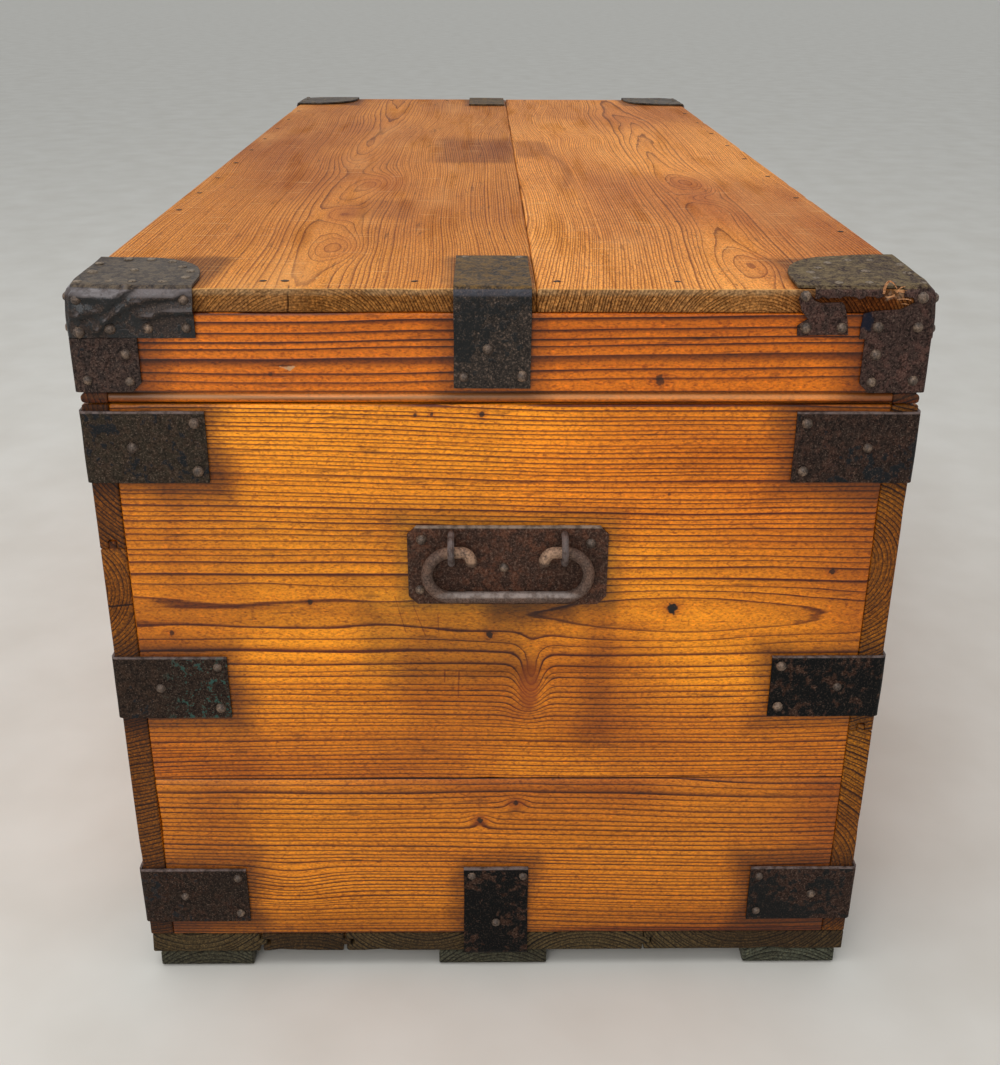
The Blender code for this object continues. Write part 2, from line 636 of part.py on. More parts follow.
def make_lock(front_board, front_rail, lid_joint, bolt_joint):
    """The case, hollow for bolt and key and slotted for the link, then the link and the bolt."""
    back = -SIDE_INNER
    front = back - CASE_DEPTH
    half = CASE_WIDTH / 2
    base = WALL_TOP - CASE_HEIGHT
    pocket_low = (-half - SEAT, front - SEAT, base - SEAT)
    pocket_high = (half + SEAT, back + OVERRUN, WALL_TOP + OVERRUN)
    cut(front_board, "lock pocket", box(pocket_low, pocket_high))
    key = keyhole_outline(base + KEYHOLE_RISE)
    cut(front_board, "keyhole", swept(key, -SIDE - OVERRUN, front + CASE_WALL, "Y"))

    case = finish("lock_case", box((-half, front, base), (half, back, WALL_TOP)), "fittings")
    inside = half - CASE_WALL
    front_in = front + CASE_WALL
    back_in = back - CASE_WALL
    roof = WALL_TOP - SELVAGE_THICK
    shelf = roof - BOLT_PLAY - BOLT_HEIGHT - BOLT_PLAY
    under = shelf - SHELF_THICK
    cut(case, "bolt channel", box((-inside, front_in, shelf), (inside, back_in, roof)))
    cut(case, "key chamber", box((-inside, front_in, base + CASE_WALL), (inside, back_in, under)))
    way = box((-inside + SHELF_WIDTH, front_in, under - CASE_WALL), (inside, back_in, shelf + CASE_WALL))
    cut(case, "way between", way)
    cut(case, "case keyhole", swept(key, front - OVERRUN, front_in + CASE_WALL, "Y"))

    middle = (front_in + back_in) / 2
    reach = LINK_WIDTH / 2
    thick = LINK_THICK / 2
    slot_low = (-thick - LINK_PLAY, middle - reach - LINK_PLAY, roof - CASE_WALL)
    slot_high = (thick + LINK_PLAY, middle + reach + LINK_PLAY, WALL_TOP + OVERRUN)
    cut(case, "link slot", box(slot_low, slot_high))

    length = LINK_PLATE_LENGTH / 2
    edge = back - LINK_PLATE_WIDTH
    top = LID_BASE + LINK_PLATE_THICK
    recess_low = (-length - SEAT, edge - SEAT, LID_BASE - OVERRUN)
    recess_high = (length + SEAT, back + OVERRUN, top + SEAT)
    cut(front_rail, "link recess", box(recess_low, recess_high))
    link = finish("lock_link", box((-length, edge, LID_BASE), (length, back, top)), "fittings", lid_joint)
    eye = shelf + BOLT_PLAY - EYE_PLAY
    loop_top = LID_BASE + LINK_PLATE_THICK / 2
    join(link, "loop", box((-thick, middle - reach, eye - LINK_FOOT), (thick, middle + reach, loop_top)))
    hole = reach - LINK_BAR
    ends = thick + OVERRUN
    cut(link, "eye", box((-ends, middle - hole, eye), (ends, middle + hole, roof)))

    stop = -BOLT_REACH
    start = stop - BOLT_LENGTH
    low = shelf + BOLT_PLAY
    high = low + BOLT_HEIGHT
    first = start + TALON_START
    last = first + TALON_WIDTH
    outline = [(start, low), (first, low), (first, low + TALON_DEPTH), (last, low + TALON_DEPTH)]
    outline += [(last, low), (stop, low), (stop, high), (start, high)]
    depth = BOLT_DEPTH / 2
    finish("lock_bolt", swept(outline, middle - depth, middle + depth, "Y"), "fittings", bolt_joint)


clear_scene()
MATERIALS = {
    "pine": make_material("pine", (0.42, 0.20, 0.07), 0.55),
    "lid pine": make_material("lid pine", (0.36, 0.14, 0.06), 0.5),
    "floor": make_material("weathered pine", (0.09, 0.07, 0.045), 0.8),
    "runner": make_material("runner pine", (0.11, 0.10, 0.09), 0.85),
    "iron": make_material("strap iron", (0.055, 0.042, 0.036), 0.65, 0.7),
    "handle": make_material("handle iron", (0.075, 0.060, 0.050), 0.6, 0.8),
    "fittings": make_material("hinge and lock iron", (0.08, 0.07, 0.06), 0.5, 0.9),
    "helper": make_material("helper", (0.8, 0.2, 0.2), 0.5),
}
lid_pivot = pivot("lid_pivot", Vector((0, HINGE_Y, HINGE_Z)))
bolt_pivot = pivot("bolt_slide", Vector((0, -SIDE_INNER - CASE_DEPTH / 2, WALL_TOP)))
boards = make_walls()
make_floor()
make_runners()
lid_rails = make_lid(lid_pivot)
make_straps(lid_pivot)
make_caps(lid_pivot)
for end_name, end_sign in ENDS.items():
    bail_pivot = pivot(f"bail_pivot_{end_name}", Vector((end_sign * BAIL_X, PLATE_OFFSET, BAIL_Z)))
    make_handle(end_name, end_sign, bail_pivot)
    make_hinge(end_name, end_sign, boards["back_upper"], lid_rails["back"], lid_pivot)
make_lock(boards["front_upper"], lid_rails["front"], lid_pivot, bolt_pivot)
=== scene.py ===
# %% [markdown]
# # An iron-bound pine trunk
# A travelling trunk of tongued pine boards, bound with iron straps and corner caps. The solids come from a
# packed CAD frame, and this lesson dresses them: it wears the edges of the boards, hammers the iron,
# drives the nails and gives each piece its wood or metal.

import functools
import json
import math

import bmesh
import bpy
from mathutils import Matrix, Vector, noise


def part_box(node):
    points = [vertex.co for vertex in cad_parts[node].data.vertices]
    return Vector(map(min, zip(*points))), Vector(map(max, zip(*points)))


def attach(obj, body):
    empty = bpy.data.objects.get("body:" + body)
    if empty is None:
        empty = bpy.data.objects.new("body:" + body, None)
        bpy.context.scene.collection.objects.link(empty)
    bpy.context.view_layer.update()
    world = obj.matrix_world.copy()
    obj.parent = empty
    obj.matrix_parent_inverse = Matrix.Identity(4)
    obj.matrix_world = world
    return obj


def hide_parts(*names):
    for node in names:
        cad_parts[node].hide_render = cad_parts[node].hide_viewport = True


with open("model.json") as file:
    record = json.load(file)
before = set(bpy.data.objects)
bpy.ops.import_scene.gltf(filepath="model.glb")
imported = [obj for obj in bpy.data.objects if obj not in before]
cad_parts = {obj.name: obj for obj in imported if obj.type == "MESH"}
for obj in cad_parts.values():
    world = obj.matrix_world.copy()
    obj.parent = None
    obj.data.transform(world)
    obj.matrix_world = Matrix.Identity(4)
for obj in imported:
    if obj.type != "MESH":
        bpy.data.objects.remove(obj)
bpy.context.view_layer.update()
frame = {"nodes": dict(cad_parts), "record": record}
NODES = frame["nodes"]

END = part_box("end_right_upper")[1].x
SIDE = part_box("back_upper")[1].y
LID_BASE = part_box("lid_rail_right")[0].z
LID_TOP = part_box("lid_top_front")[1].z
print(f"{len(NODES)} solids; end at {END:.3f}, side at {SIDE:.3f}, lid {LID_BASE:.3f} to {LID_TOP:.3f}")

# %% [markdown]
# ## The camera
# The trunk is seen end on, from a little above the lid and rather close, so its sides draw together
# strongly towards the far end. The camera's place and turn were worked out from the corners of the lid and
# the carcase, with the picture's middle as the lens's middle, so no shift is needed.

# %% Camera
CAMERA_AT = (1.364, -0.0124, 0.712)
CAMERA_TURN = (66.079, -0.275, 89.263)
LENS = 43.646


def linked(name, data):
    """A new object in the scene."""
    made = bpy.data.objects.new(name, data)
    bpy.context.collection.objects.link(made)
    return made


camera = linked("camera", bpy.data.cameras.new("camera"))
camera.data.lens = LENS
camera.location = CAMERA_AT
camera.rotation_euler = [math.radians(angle) for angle in CAMERA_TURN]
bpy.context.scene.camera = camera
bpy.context.scene.view_settings.view_transform = "Standard"
print("camera", CAMERA_AT, "lens", LENS)

# %% [markdown]
# ## Sums on sockets
# A material is a net of nodes, and most of it is arithmetic. Wiring Math nodes by hand hides the sum that
# they stand for, so a small class wraps a socket: adding, taking away, multiplying or dividing such
# sockets adds the Math nodes. Every other node comes from its one method, `node`. The trees of Geometry
# Nodes further down are wired with it too.

# %% A socket that can be reckoned with
class Shade:
    """A socket in a tree of nodes."""

    def __init__(self, tree, socket):
        self.tree = tree
        self.socket = socket

    def node(self, kind, settings=None, sockets=None, out=0):
        made = self.tree.nodes.new(kind)
        for key, value in (settings or {}).items():
            setattr(made, key, value)
        for key, value in (sockets or {}).items():
            if isinstance(value, Shade):
                self.tree.links.new(value.socket, made.inputs[key])
            else:
                made.inputs[key].default_value = value
        return Shade(self.tree, made.outputs[out])

    def sum(self, operation, first, second=0.0):
        return self.node("ShaderNodeMath", {"operation": operation}, {0: first, 1: second})

    def __add__(self, other):
        return self.sum("ADD", self, other)

    __radd__ = __add__

    def __sub__(self, other):
        return self.sum("SUBTRACT", self, other)

    def __rsub__(self, other):
        return self.sum("SUBTRACT", other, self)

    def __mul__(self, other):
        return self.sum("MULTIPLY", self, other)

    __rmul__ = __mul__

    def __truediv__(self, other):
        return self.sum("DIVIDE", self, other)

    def __pow__(self, other):
        return self.sum("POWER", self, other)

    def __abs__(self):
        return self.sum("ABSOLUTE", self)

    def least(self, other):
        return self.sum("MINIMUM", self, other)

    def most(self, other):
        return self.sum("MAXIMUM", self, other)

    def rise(self, low, high, shape="SMOOTHSTEP"):
        """0 below low and 1 above high, or the other way round where low is the greater."""
        return self.node("ShaderNodeMapRange", {"interpolation_type": shape},
                         {"Value": self, "From Min": low, "From Max": high})

    def scaled(self, by, shift=(0, 0, 0)):
        return self.node("ShaderNodeVectorMath", {"operation": "MULTIPLY_ADD"}, {0: self, 1: by, 2: shift})

    def cloud(self, detail=2.0, rough=0.5):
        """Soft noise from 0 to 1 at this place."""
        return self.node("ShaderNodeTexNoise", None,
                         {"Vector": self, "Scale": 1.0, "Detail": detail, "Roughness": rough})

    def between(self, first, second, how="MIX"):
        """The first colour where this is 0 and the second, mixed in by this, where it is 1."""
        return self.node("ShaderNodeMix", {"data_type": "RGBA", "blend_type": how},
                         {0: self, 6: first, 7: second}, out=2)


def greatest(flows):
    return functools.reduce(Shade.most, flows)


def layered(colour, rows):
    """A colour under rows of (mask, tone) that are multiplied over it, or mixed in where a row says "MIX"."""
    for mask, tone, *how in rows:
        colour = mask.between(colour, tone, *(how or ["MULTIPLY"]))
    return colour


print("a Shade knows", len([name for name in vars(Shade) if name.startswith("__r")]), "reflected sums")


# %% A blank material
def tint(red, green, blue):
    """A colour of a paint chart, 0 to 255, as the linear values that Blender mixes."""
    levels = [value / 255 for value in (red, green, blue)]
    return (*[c / 12.92 if c <= 0.04045 else ((c + 0.055) / 1.055) ** 2.4 for c in levels], 1.0)


def blank(name):
    """A new material: its shader node and the Object coordinates, from which everything is painted."""
    material = bpy.data.materials.new(name)
    material.use_nodes = True
    tree = material.node_tree
    shader = next(n for n in tree.nodes if n.type == "BSDF_PRINCIPLED")
    place = Shade(tree, tree.nodes.new("ShaderNodeTexCoord").outputs["Object"])
    return material, shader, place


def axes(place):
    return [place.node("ShaderNodeSeparateXYZ", None, {0: place}, axis) for axis in "XYZ"]


def feed(shader, **flows):
    """Links flows to the shader's sockets: base_color=flow feeds Base Color."""
    for key, flow in flows.items():
        socket = shader.inputs[key.replace("_", " ").title()]
        flow.tree.links.new(flow.socket, socket)


def bump(height, strength, depth):
    return height.node("ShaderNodeBump", None, {"Strength": strength, "Distance": depth, "Height": height})


print("a middle grey is", [round(value, 3) for value in tint(128, 128, 128)])

# %% [markdown]
# ## Floor and light
# The trunk stands on a plain pale floor in soft light from above and from the camera's side, as on an
# overcast day. A wide lamp and an even sky together give a white card about its own colour, so the colours
# below can be read from the object. Rays that show the sky itself, straight or in metal, see it pale.

# %% Floor
FLOOR_REACH = 30.0


def meshed(name, bm, material):
    """A new object from a mesh that was built up by hand, which is used up."""
    mesh = bpy.data.meshes.new(name)
    bm.to_mesh(mesh)
    bm.free()
    mesh.materials.append(material)
    return linked(name, mesh)


material, shader, place = blank("pale_floor")
speckle = place.scaled((9, 9, 9)).cloud(3).rise(0.3, 0.7, "LINEAR")
feed(shader, base_color=speckle.between(tint(204, 200, 192), tint(212, 209, 202)))
shader.inputs["Roughness"].default_value = 0.85
floor_bm = bmesh.new()
bmesh.ops.create_circle(floor_bm, cap_ends=True, segments=64, radius=FLOOR_REACH)
studio_floor = meshed("studio_floor", floor_bm, material)
print("floor", FLOOR_REACH, "m across its half")

# %% Sky and lamps
SKY = 0.58
PALE = 0.86

world = bpy.data.worlds.new("studio_sky")
bpy.context.scene.world = world
world.use_nodes = True
sky_tree = world.node_tree
sky = sky_tree.nodes["Background"]
sky.inputs["Color"].default_value = (0.95, 0.98, 1.0, 1.0)
rays = sky_tree.nodes.new("ShaderNodeLightPath").outputs
seen = greatest([Shade(sky_tree, rays[f"Is {kind} Ray"]) for kind in ("Camera", "Glossy", "Transmission")])
sky_tree.links.new((SKY + seen * (PALE - SKY)).socket, sky.inputs["Strength"])


def lamp(name, place, aim, size, power):
    light = bpy.data.lights.new(name, "AREA")
    light.shape = "DISK"
    light.size = size
    light.energy = power
    made = linked(name, light)
    made.location = place
    made.rotation_euler = (Vector(aim) - Vector(place)).to_track_quat("-Z", "Y").to_euler()


lamp("overhead_lamp", (0.7, -0.6, 3.1), (0.1, 0, 0.3), 2.6, 42)
lamp("camera_side_lamp", (3.2, -0.9, 1.7), (0.4, 0, 0.25), 2.2, 34)
print("sky", SKY, "with two lamps")

# %% [markdown]
# ## Pine
# Old varnished pine shows dark lines of late wood on amber early wood. The lines are the year rings of the
# log, cut by the board's face: wide apart where the face lies along a ring and close where it crosses
# them. A flat stripe texture misses that, and shows the same stripes on the end grain. So the material
# keeps the log itself: it measures how far each point is from the heart of the tree, and counts rings.
# Faces, edges and end grain then agree by themselves. Knots push the rings aside.

# %% Year rings
def hump(first, second, at, size):
    """A soft round hump of height 1 at a place on a face, and of that half width each way."""
    u = (first - at[0]) / size[0]
    v = (second - at[1]) / size[1]
    return u.sum("EXPONENT", 0.0 - (u * u + v * v))


def year_rings(grain, run, heart, ring, seed, taper, wander, knots):
    """0 in early wood and 1 in late wood, by counting rings from the heart, and the cores of the knots."""
    along, across, deep = run
    side = across - heart[0] + (grain(4, 0.5, 1) - 0.5) * wander
    depth = deep - heart[1]
    radius = (side * side + depth * depth) ** 0.5 + (grain(18, 0.2, 2, 5) - 0.5) * 0.006 + along * taper
    radius = radius + (grain(150, 0.08, 1, 7) - 0.5) * 0.0006 + (grain(700, 0.04, 1, 8) - 0.5) * 0.0002
    cores = []
    for at, height, wide, tall, push, dark in knots:
        radius = radius + hump(along, across, (at, height), (wide, tall)) * push
        if dark:
            cores.append(hump(along, across, (at, height), (wide * 0.9, tall * 0.8)).rise(0.1, 0.6) * dark)
    uneven = radius.node("ShaderNodeCombineXYZ", None, {0: radius * (0.4 / ring), 1: seed}).cloud(1)
    count = radius / ring + uneven * 2.4
    turn = count.sum("FRACT", count)
    each = count.node("ShaderNodeCombineXYZ", None, {0: count.sum("FLOOR", count) * 1.37, 1: seed}).cloud(0)
    slope = abs(side) / radius.most(0.004)
    soft = turn.rise(0.25, 0.90) * turn.rise(1.0, 0.94)
    crisp = turn.rise(0.84 - slope * 0.34, 0.92) * turn.rise(1.0, 0.95)
    line = (soft * 0.36 + crisp * 0.80) * (0.7 + each * 0.5)
    return line * (0.72 + grain(34, 0.06, 2, 9).rise(0.25, 0.7) * 0.28), cores


print("a board's rings are counted from its heart")

# %% Pine
RAW_EARLY = tint(196, 152, 98)
RAW_LATE = tint(152, 102, 56)
KNOT_RED = tint(150, 68, 14)
VARNISH_BROWN = (0.62, 0.50, 0.42, 1)
SOOT = (0.16, 0.12, 0.09, 1)
HOLE = (0.010, 0.005, 0.003, 1)
SAWN = (0.0018, 0.0006)


def pine(name, run, heart, ring, early, late, seed, taper=0.0, wander=0.02, knots=(), specks=(),
         half_length=None, end_tint=(0.34, 0.33, 0.34, 1), outside=None, marks=None, roughness=0.44,
         gloss=1.0):
    """Wood with its grain along the first axis of run, and its heart at a place on the other two. A board
    with a half length has sawn ends, and one with an outside is raw wood within."""
    material, shader, place = blank(name)
    xyz = dict(zip("XYZ", axes(place)))
    along, across, deep = (xyz[axis] for axis in run)

    def grain(scale, long, detail=2.0, shift=0.0):
        """Noise that is drawn out along the grain where long is under 1."""
        sizes = tuple(scale * long if axis == run[0] else scale for axis in "XYZ")
        offset = seed + shift
        return place.scaled(sizes, (offset, 1.7 * offset, 0.6 * offset)).cloud(detail)

    line, cores = year_rings(grain, (along, across, deep), heart, ring, seed, taper, wander, knots)
    fibre = grain(620, 0.014, 2, 3)
    fleck = grain(300, 0.12, 1, 21).rise(0.68, 0.75)
    pore = grain(620, 0.45, 1, 23).rise(0.60, 0.70)
    glint = grain(560, 0.40, 1, 25).rise(0.62, 0.74)
    tooth = grain(900, 0.50, 1, 27)
    grime = grain(42, 0.14, 4, 11).rise(0.5, 0.78)
    wood = layered(line.between(early, late), [
        (grain(5, 0.4, 3, 2).rise(0.38, 0.68), VARNISH_BROWN),
        (fibre.rise(0.4, 0.8) * 0.55, (0.62, 0.46, 0.30, 1)),
        (fleck * 0.45, SOOT),
        (pore * 0.5, (0.34, 0.22, 0.12, 1)),
        (glint * 0.5, (1.5, 1.35, 1.2, 1)),
        (tooth.rise(0.52, 0.66) * 0.56, (0.50, 0.38, 0.28, 1)),
        (tooth.rise(0.46, 0.34) * 0.52, (1.42, 1.30, 1.12, 1)),
        (grime * 0.4, (0.5, 0.40, 0.32, 1)),
    ])
    if cores:
        wood = (greatest(cores) * (0.78 + line * 0.2)).between(wood, KNOT_RED)
    for at, height, size, strength in specks:
        ragged = (grain(520, 0.8, 2, 51) - 0.5) * 0.9
        stain = hump(along, across, (at, height), (size * 2.0, size * 1.6)) * strength
        spot = (hump(along, across, (at, height), (size, size * 1.2)) + ragged).rise(0.40, 0.66) * strength
        wood = layered(wood, [(stain * 0.8, (0.52, 0.34, 0.22, 1)), (spot, HOLE, "MIX")])
    if marks:
        wood = layered(wood, marks(xyz, grain))

    rough = roughness + grime * 0.16 + fibre * 0.1
    coat = (0.14 - grime * 0.10) * gloss
    height = line * 0.55 + fibre * 0.35 - fleck * 0.4
    if half_length is not None:
        sawn = abs(along).rise(half_length - SAWN[0], half_length - SAWN[1])
        saw_marks = grain(640, 1.0, 2, 31)
        wood = layered(wood, [
            (sawn, end_tint),
            (sawn * line * 0.6, (0.42, 0.36, 0.30, 1)),
            (sawn * saw_marks.rise(0.48, 0.64) * 0.55, (0.34, 0.28, 0.24, 1)),
            (sawn * saw_marks.rise(0.46, 0.34) * 0.6, (1.9, 1.8, 1.65, 1)),
        ])
        rough = rough + sawn * 0.2
        coat = coat * (1 - sawn)
        height = height + sawn * saw_marks * 0.8
    if outside is not None:
        skin = outside(xyz)
        raw = (line * 0.8).between(RAW_EARLY, RAW_LATE)
        raw = layered(raw, [(grime * 0.5 + fibre * 0.25, (0.6, 0.52, 0.45, 1))])
        if half_length is not None:
            skin = skin.most(sawn)
        wood = skin.between(raw, wood)
        rough = rough + (1 - skin) * 0.3
        coat = coat * skin
    feed(shader, base_color=wood, roughness=rough, coat_weight=coat, normal=bump(height, 0.5, 0.0007))
    shader.inputs["Coat Roughness"].default_value = 0.28
    shader.inputs["Specular IOR Level"].default_value = 0.26 * gloss
    return material


print("pine is ready, with sawn ends over the last", SAWN[0], "m")

# %% [markdown]
# ## What has happened to the boards
# Only the outside was varnished, and it is that which has darkened. Iron stains pine: damp under the straps
# has left a sooty rim on the wood around each one, and handling has left dark runs below the handle. These
# marks are masks that are made from a point's place, each torn a little by noise, and most are multiplied
# over the wood, so that the rings still show through.

# %% Outside and inside
FLOOR_MIDDLE = sum(end.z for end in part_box("floor_3")) / 2
SKIN = (0.007, 0.003)


def outside_walls(xyz):
    ends = abs(xyz["X"]).rise(END - SKIN[0], END - SKIN[1])
    return ends.most(abs(xyz["Y"]).rise(SIDE - SKIN[0], SIDE - SKIN[1]))


def outside_lid(xyz):
    return outside_walls(xyz).most(xyz["Z"].rise(LID_TOP - SKIN[0], LID_TOP - SKIN[1]))


def outside_floor(xyz):
    return outside_walls(xyz).most(xyz["Z"].rise(FLOOR_MIDDLE + 0.004, FLOOR_MIDDLE - 0.001))


print("varnish reaches", SKIN[1], "m in")

# %% Stains round the iron
LEVELS = ("upper", "middle", "lower")
STRAPS = [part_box(f"strap_front_right_{level}") for level in LEVELS]
STRAP_X = STRAPS[0][0].x
STRAP_Y = -STRAPS[0][1].y
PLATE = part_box("handle_plate_right")
FOOT_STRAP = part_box("foot_strap_right")
LID_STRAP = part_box("lid_strap_right")
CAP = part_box("lid_cap_front_right")
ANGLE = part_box("lid_angle_front_right")
SOOT_REACH = 0.023


def beside(spans, reach, ragged=0.0):
    """1 inside a box of (flow, low, high) spans, falling to 0 at that reach outside it."""
    gaps = [abs(flow - (low + high) / 2) - (high - low) / 2 for flow, low, high in spans]
    return (greatest(gaps) + ragged).rise(reach, 0.0)


def strap_soot(xyz, ragged):
    """The rim round the three straps of each corner."""
    heights = [abs(xyz["Z"] - (low.z + high.z) / 2) for low, high in STRAPS]
    level = functools.reduce(Shade.least, heights) - (STRAPS[0][1].z - STRAPS[0][0].z) / 2
    gap = greatest([level, STRAP_X - abs(xyz["X"]), STRAP_Y - abs(xyz["Y"])])
    return (gap + ragged).rise(SOOT_REACH, 0.0)


def lid_strap_soot(xyz, ragged, reach):
    spans = [(abs(xyz["X"]), LID_STRAP[0].x, 1.0), (xyz["Y"], LID_STRAP[0].y, LID_STRAP[1].y)]
    return beside(spans, reach, ragged)


print("stains set from", len(STRAPS), "straps, the handle plate, the caps and the lid straps")

# %% Marks on an end
END_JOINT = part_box("end_right_upper")[0].z
END_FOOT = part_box("end_right_lower")[0].z
NICK_WIDE = 0.0004
NICKS = [
    (-0.0717, 0.3194, -0.0649, 0.2922), (-0.0594, 0.3126, -0.0513, 0.2888),
    (-0.0386, 0.2627, -0.0389, 0.2527), (-0.0288, 0.2609, -0.0295, 0.2405),
    (-0.0428, 0.3058, -0.0425, 0.2922),
]


def nicked(y, z, ragged):
    """Thin scratches across the grain, each from a top to a foot."""
    nicks = []
    for y_top, z_top, y_foot, z_foot in NICKS:
        lean = (y_top - y_foot) / (z_top - z_foot)
        away = y - y_foot - (z - z_foot) * lean
        nicks.append(beside([(away, 0.0, NICK_WIDE), (z, z_foot, z_top)], 0.0005, ragged))
    return greatest(nicks)


def end_marks(xyz, grain):
    """Stains on an end: round the straps and the handle, and the dark runs below them, with soot below the
    plate that is partly its painted shadow, and a painted patch of light high up beside the handle. The
    near end also has scratches, dirt in the joint of its boards with a painted highlight on the lip below
    it, and a dark band along its foot."""
    y, z = xyz["Y"], xyz["Z"]
    torn = (grain(26, 0.6, 3, 40) - 0.5) * 0.030
    patchy = grain(9, 0.7, 3, 43)
    near = xyz["X"].rise(0.0, 0.1)
    low, high = PLATE

    def stain(y_from, y_to, z_from, z_to, reach, ragged=1.0):
        return beside([(y, y_from, y_to), (z, z_from, z_to)], reach, torn * ragged)

    plate = stain(low.y, high.y, low.z - 0.004, high.z, 0.022)
    halo = stain(low.y, high.y, low.z, high.z, 0.012, 0.4)
    # under: soot just below the handle plate, partly the plate's painted shadow
    under = stain(low.y + 0.062, high.y - 0.026, low.z - 0.008, low.z + 0.01, 0.020, 0.7)
    foot = stain(FOOT_STRAP[0].y, FOOT_STRAP[1].y, 0, FOOT_STRAP[1].z, 0.016)
    left_run = stain(-0.208, -0.190, 0.100, 0.400, 0.034)
    right_run = stain(0.062, 0.072, 0.205, 0.320, 0.013, 0.4)
    middle_run = stain(-0.060, 0.072, 0.196, 0.275, 0.060)
    beside_plate = stain(-0.165, -0.095, 0.310, 0.365, 0.035)
    below_plate = stain(-0.085, 0.010, 0.270, 0.315, 0.026)
    by_knot = stain(-0.050, 0.002, 0.220, 0.285, 0.024)
    # sunny: a painted patch of light, high up beside the handle
    sunny = stain(0.030, 0.180, 0.385, 0.425, 0.045)
    low_band = beside([(z, 0.172, 0.212)], 0.050, torn)
    corner = abs(y).rise(SIDE - 0.075, SIDE - 0.018)
    # foot_edge: darker towards the bottom
    foot_edge = z.rise(0.070, 0.032)
    foot_band = (z - END_FOOT - 0.0040 + torn * 0.3).rise(0.0012, 0.0) * y.rise(0.02, 0.08) * near
    joint = abs(z - END_JOINT).rise(0.0011, 0.0004) * near
    # a painted highlight on the rounded lip of the board below the joint
    joint_lip_highlight = abs(z - END_JOINT + 0.0021).rise(0.0010, 0.0003) * patchy.rise(0.35, 0.6) * near
    return [
        (sunny * 0.7, (1.32, 1.24, 1.10, 1)),
        (corner * (0.3 + patchy.rise(0.3, 0.7) * 0.4), (0.52, 0.40, 0.32, 1)),
        (beside_plate * patchy.rise(0.1, 0.5) * 0.55, (0.50, 0.44, 0.36, 1)),
        (below_plate * 0.45, (0.46, 0.36, 0.28, 1)),
        (by_knot * 0.5, (0.48, 0.36, 0.26, 1)),
        (strap_soot(xyz, torn) * 0.75, SOOT),
        (middle_run * patchy.rise(0.15, 0.6) * 0.62, (0.42, 0.28, 0.20, 1)),
        (plate * 0.45, (0.30, 0.22, 0.15, 1)),
        (halo * 0.5, (0.62, 0.86, 1.5, 1)),
        (below_plate * 0.45, (0.84, 1.10, 1.9, 1)),
        # soot below the plate, partly its painted shadow
        (under * 0.78, SOOT),
        (foot * 0.6, SOOT),
        (left_run * patchy.rise(0.2, 0.6) * 0.62, (0.42, 0.30, 0.22, 1)),
        (right_run * (0.3 + patchy * 0.4), (0.46, 0.38, 0.32, 1)),
        (low_band * patchy.rise(0.25, 0.65) * 0.5, (0.52, 0.34, 0.34, 1)),
        (foot_edge * 0.6, (0.40, 0.34, 0.28, 1)),
        (foot_band * 0.75, (0.40, 0.24, 0.18, 1)),
        (joint * 0.8, SOOT),
        # painted highlight on the lip below the joint
        (joint_lip_highlight * 0.5, (1.30, 1.34, 1.50, 1)),
        (nicked(y, z, torn * 0.03) * near * 0.7, (0.42, 0.28, 0.18, 1)),
    ]


print(len(NICKS), "scratches on the near end")

# %% Marks on a long side and a rail
FRONT_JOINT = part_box("front_upper")[0].z
CRACK_Z = 0.3135
QUIRK_Z = LID_BASE + 0.0075
# the height of the painted highlight along the bead
BEAD_HIGHLIGHT_Z = LID_BASE + 0.0045


def side_marks(xyz, grain):
    """Stains on a long side, where only the straps and hands have marked it, darker towards the bottom, and a
    crack. The front boards' ends have faded unevenly."""
    x, y, z = (xyz[axis] for axis in "XYZ")
    torn = (grain(26, 0.6, 3, 40) - 0.5) * 0.030
    crack = abs(z - CRACK_Z + torn * 0.3).rise(0.0011, 0.0004) * y.rise(0.0, -0.1) * x.rise(0.0, 0.4)
    front_end = abs(x).rise(END - SAWN[0], END - SAWN[1]) * y.rise(0.0, -0.1)
    above = z.rise(FRONT_JOINT - 0.001, FRONT_JOINT + 0.001)
    below = z.rise(0.255, 0.235)
    return [
        (front_end * above * 0.8, (0.46, 0.42, 0.46, 1)),
        (front_end * below * 0.8, (0.56, 0.56, 0.66, 1)),
        (front_end * (1 - above.most(below)) * 0.8, (1.52, 1.9, 1.8, 1)),
        (strap_soot(xyz, torn) * 0.72, SOOT),
        (grain(7, 0.4, 3, 43).rise(0.45, 0.8) * 0.6, (0.42, 0.32, 0.25, 1)),
        # darker towards the bottom
        (z.rise(0.075, 0.030) * 0.6, (0.40, 0.34, 0.28, 1)),
        (crack, SOOT),
    ]


